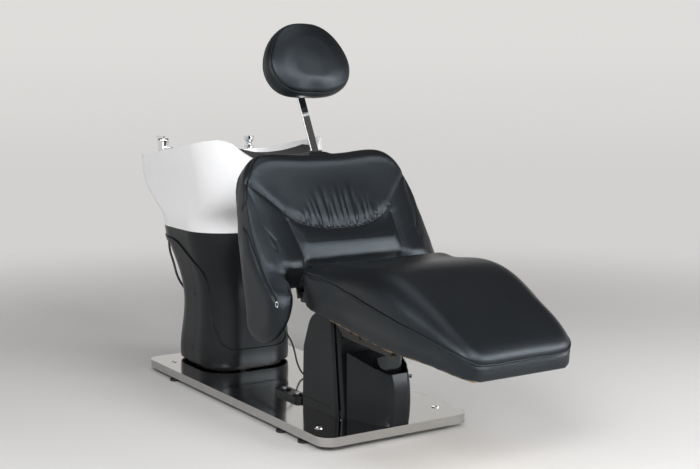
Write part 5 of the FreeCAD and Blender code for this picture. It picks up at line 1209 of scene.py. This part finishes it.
    def sew_head(self) -> None:
        """The headrest's two pipings, at the front and the rear of its band."""
        pad = self.head
        skin = Skin(pad.piece)
        depth = skin.spots @ np.array(HEAD_AHEAD)
        first, last = float(depth.min()), float(depth.max())
        for name, share in (("front", 0.66), ("rear", 0.20)):
            level = first + (last - first) * share
            rail = self.girdle(skin, HEAD_AHEAD, level)
            self.piping("headrest_piping_%s" % name, pad, rail, 0.0022, True)

    def girdle(self, skin: Skin, ahead: Vector, level: float, count: int = 90) -> list:
        """A closed line round a pad, at one depth.

        Args:
            skin: the pad's surface.
            ahead: the direction that depth is measured in.
            level: the depth, in metres.
            count: how many points.

        Returns:
            The points, in order round the pad.
        """
        middle = Vector(skin.spots.mean(axis=0))
        middle += ahead * (level - middle.dot(ahead))
        side = Vector((0, 1, 0))
        rise = ahead.cross(side)
        tree = surface_of(skin.piece.data)
        points = []
        for number in range(count):
            turn = 2 * math.pi * number / count
            way = side * math.cos(turn) + rise * math.sin(turn)
            points.append(tree.ray_cast(middle + way * 0.5, -way)[0])
        return points

    def sew_panel(self) -> None:
        """The piping round the leather panel on the backrest's rear."""
        skin = Skin(self.panel.piece)
        ahead = (leaning(0, 0, 1.0) - leaning(0, 0, 0.0)).normalized()
        level = float((skin.spots @ np.array(ahead)).min()) + 0.004
        rail = self.girdle(skin, ahead, level, 120)
        self.piping("rear_panel_piping", self.panel, rail, 0.0022, True)


@dataclass(frozen=True)
class Lamp:
    """One soft rectangular lamp that faces the middle of the bed."""
    name: str
    place: tuple
    size: tuple
    watts: float

    def hang(self) -> None:
        """Puts the lamp into the scene."""
        data = bpy.data.lights.new(self.name, "AREA")
        data.shape = "RECTANGLE"
        data.size, data.size_y = self.size
        data.energy = self.watts
        lamp = linked(self.name, data)
        lamp.location = self.place
        aim = Vector((0.0, 0.0, 0.55)) - Vector(self.place)
        lamp.rotation_euler = aim.to_track_quat("-Z", "Y").to_euler()


LAMPS = (
    Lamp("key", (3.4, -3.0, 3.2), (1.8, 1.4), 150.0),
    Lamp("foot", (3.6, 0.4, 3.0), (2.0, 1.6), 95.0),
    Lamp("front", (3.2, 2.6, 1.5), (2.0, 1.4), 105.0),
    Lamp("near", (0.6, -4.0, 2.9), (2.8, 1.6), 60.0),
    Lamp("top", (0.0, 0.0, 4.2), (3.0, 2.4), 25.0),
)


@dataclass(frozen=True)
class Studio:
    """The pale studio and the camera, whose place is in millimetres from the plate's middle."""
    camera_place: tuple = (3889.0, -2285.0, 1195.0)
    azimuth: float = 57.11
    pitch: float = 7.855
    focal_pixels: float = 1308.5
    frame_pixels: float = 700.0
    floor_shade: tuple = (0.66, 0.655, 0.65)
    paper_shade: tuple = (0.735, 0.72, 0.705)
    horizon: float = 0.20
    ceiling: float = 0.12
    flat_radius: float = 5.5
    bend_radius: float = 3.0
    bend_steps: int = 12
    floor_sides: int = 96
    floor_drop: float = 0.0003
    paper_away: tuple = (1.3, 4.2)
    painted_shade_heights: tuple = (0.0, 1.4)
    sky_up: tuple = (0.10, 0.50)

    def camera(self) -> None:
        """Sets up the camera that the photograph was fitted with."""
        data = bpy.data.cameras.new("camera")
        data.sensor_width = 36.0
        data.lens = data.sensor_width * self.focal_pixels / self.frame_pixels
        data.clip_end = 60.0
        camera = linked("camera", data)
        camera.location = at(*self.camera_place)
        camera.rotation_euler = (math.radians(90 - self.pitch), 0, math.radians(self.azimuth))
        bpy.context.scene.camera = camera

    def floor(self) -> None:
        """Lays the floor, a wide round sheet that curves up all round the bed as its backdrop."""
        sheet = bmesh.new()
        turns = [2 * math.pi * step / self.floor_sides for step in range(self.floor_sides)]
        rows = []
        for step in range(self.bend_steps + 1):
            bend = math.radians(90.0 * step / self.bend_steps)
            run = self.flat_radius + self.bend_radius * math.sin(bend)
            rise = self.bend_radius - self.bend_radius * math.cos(bend) - self.floor_drop
            rows.append([sheet.verts.new((run * math.cos(turn), run * math.sin(turn), rise))
                         for turn in turns])
        sheet.faces.new(rows[0])
        for low, high in zip(rows, rows[1:]):
            for side in range(self.floor_sides):
                sheet.faces.new((low[side], low[side - 1], high[side - 1], high[side]))
        mesh = bpy.data.meshes.new("studio_floor")
        sheet.to_mesh(mesh)
        sheet.free()
        floor = new_piece("studio_floor", mesh)
        shader = Shader("studio_paper")
        cloud = shader.speckle(0.7, 2.0)
        paper = shader.finish(
            base_color=shader.mix(cloud, tint(self.floor_shade), tint(self.floor_shade, 0.98)),
            roughness=0.75, specular_ior_level=0.25)
        self.brighten(shader)
        floor.data.materials.append(paper)

    def brighten(self, shader: Shader) -> None:
        """Lets the far paper glow as pale as it is, with a painted shade that darkens the glow
        towards the floor, while the floor near the bed keeps its shadow.

        Args:
            shader: the paper's material.
        """
        path = shader.node("ShaderNodeLightPath")
        seen = (path["Is Camera Ray"] + path["Is Glossy Ray"]
                + path["Is Transmission Ray"]).clamped()
        height = shader.node("ShaderNodeSeparateXYZ", inputs={0: shader.place()})["Z"]
        away = shader.node("ShaderNodeVectorMath", {"operation": "LENGTH"},
                           {0: shader.place()})["Value"]
        far = shader.between(away, *self.paper_away)
        # Painted shade: the glow is 0.88 of the paper's colour at the floor and rises to its full
        # colour higher up the sweep.
        shade = shader.mix(shader.between(height, *self.painted_shade_heights), tint(self.paper_shade, 0.88),
                           tint(self.paper_shade))
        glow = shader.node("ShaderNodeEmission", inputs={"Color": shade, "Strength": 1.0})[0]
        both = shader.node("ShaderNodeMixShader", inputs={
            0: seen * far, 1: Signal(shader, shader.surface.outputs[0]), 2: glow})[0]
        shader.feed(shader.output.inputs[0], both)

    def light(self) -> None:
        """Hangs the lamps and fills in with a pale sky that is darker overhead."""
        world = bpy.data.worlds.new("studio")
        world.use_nodes = True
        sky = Graph(world.node_tree)
        way = sky.node("ShaderNodeTexCoord")["Generated"]
        height = sky.node("ShaderNodeSeparateXYZ", inputs={0: way})["Z"]
        fall = sky.between(height, *self.sky_up, self.horizon, self.ceiling)
        back = world.node_tree.nodes["Background"]
        sky.feed(back.inputs["Color"], tint(self.paper_shade))
        sky.feed(back.inputs["Strength"], fall)
        bpy.context.scene.world = world
        for lamp in LAMPS:
            lamp.hang()

    def build(self) -> None:
        """Builds the whole studio."""
        self.camera()
        self.floor()
        self.light()


NODE_FINISHES = {
    Finish.PLATE: ("base_plate",),
    Finish.CHROME: ("anchor_rings", "mixer_body", "mixer_cap", "mixer_lever", "shower_socket",
                    "hand_shower", "waste_fitting", "strainer", "supply_valves", "headrest_bar"),
    Finish.BLACK_STEEL: ("under_frame", "pedestal_screws", "pedestal_stand", "column_post",
                         "actuator_body", "lever_bracket", "recline_hinge_plates",
                         "backrest_frame", "headrest_sleeve", "headrest_plate"),
    Finish.STEEL: ("tilt_pin", "column_bolts", "actuator_mount", "actuator_foot_pin",
                   "actuator_rod", "actuator_top_pin", "foot_button_up", "foot_button_down",
                   "board_screws", "recline_bolts", "headrest_pin"),
    Finish.FRAME: ("seat_frame",),
    Finish.SHELL: ("pedestal_front_shell", "pedestal_trim", "pedestal_skirt",
                   "pedestal_rear_cover", "column_housing", "actuator_cover",
                   "foot_switch_housing"),
    Finish.GLOSS_TRIM: ("cover_collar", "release_lever"),
    Finish.PIPES: ("bottle_trap", "waste_pipe"),
    Finish.CERAMIC: ("basin",),
    Finish.RUBBER: ("levelling_feet", "neck_cushion", "hose_glands", "lead_glands"),
    Finish.HOSE: ("shower_hose", "power_lead"),
    Finish.PLYWOOD: ("seat_board", "backrest_board"),
    Finish.LEATHER: ("seat_cushion", "backrest_cushion", "backrest_rear_panel",
                     "headrest_cushion"),
}


def dress_nodes(workshop: Workshop, frame: dict) -> None:
    """Gives every node of the frame its finish.

    Args:
        workshop: where the finishes are made.
        frame: the loaded frame.
    """
    for finish, names in NODE_FINISHES.items():
        for name in names:
            if name in frame["nodes"]:
                workshop.dress(frame["nodes"][name], finish)


def main() -> None:
    """Loads the frame and dresses it, piece by piece."""
    logging.basicConfig(level=logging.INFO, format="%(message)s")
    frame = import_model()
    bpy.context.scene.view_settings.view_transform = "Standard"
    Studio().build()
    workshop = Workshop()
    for cord in CORDS:
        cord.build(workshop)
    dress_nodes(workshop, frame)
    Upholstery(frame, workshop).build()
    LOG.info("dressed %d nodes", len(frame["nodes"]))


if __name__ == "__main__":
    main()
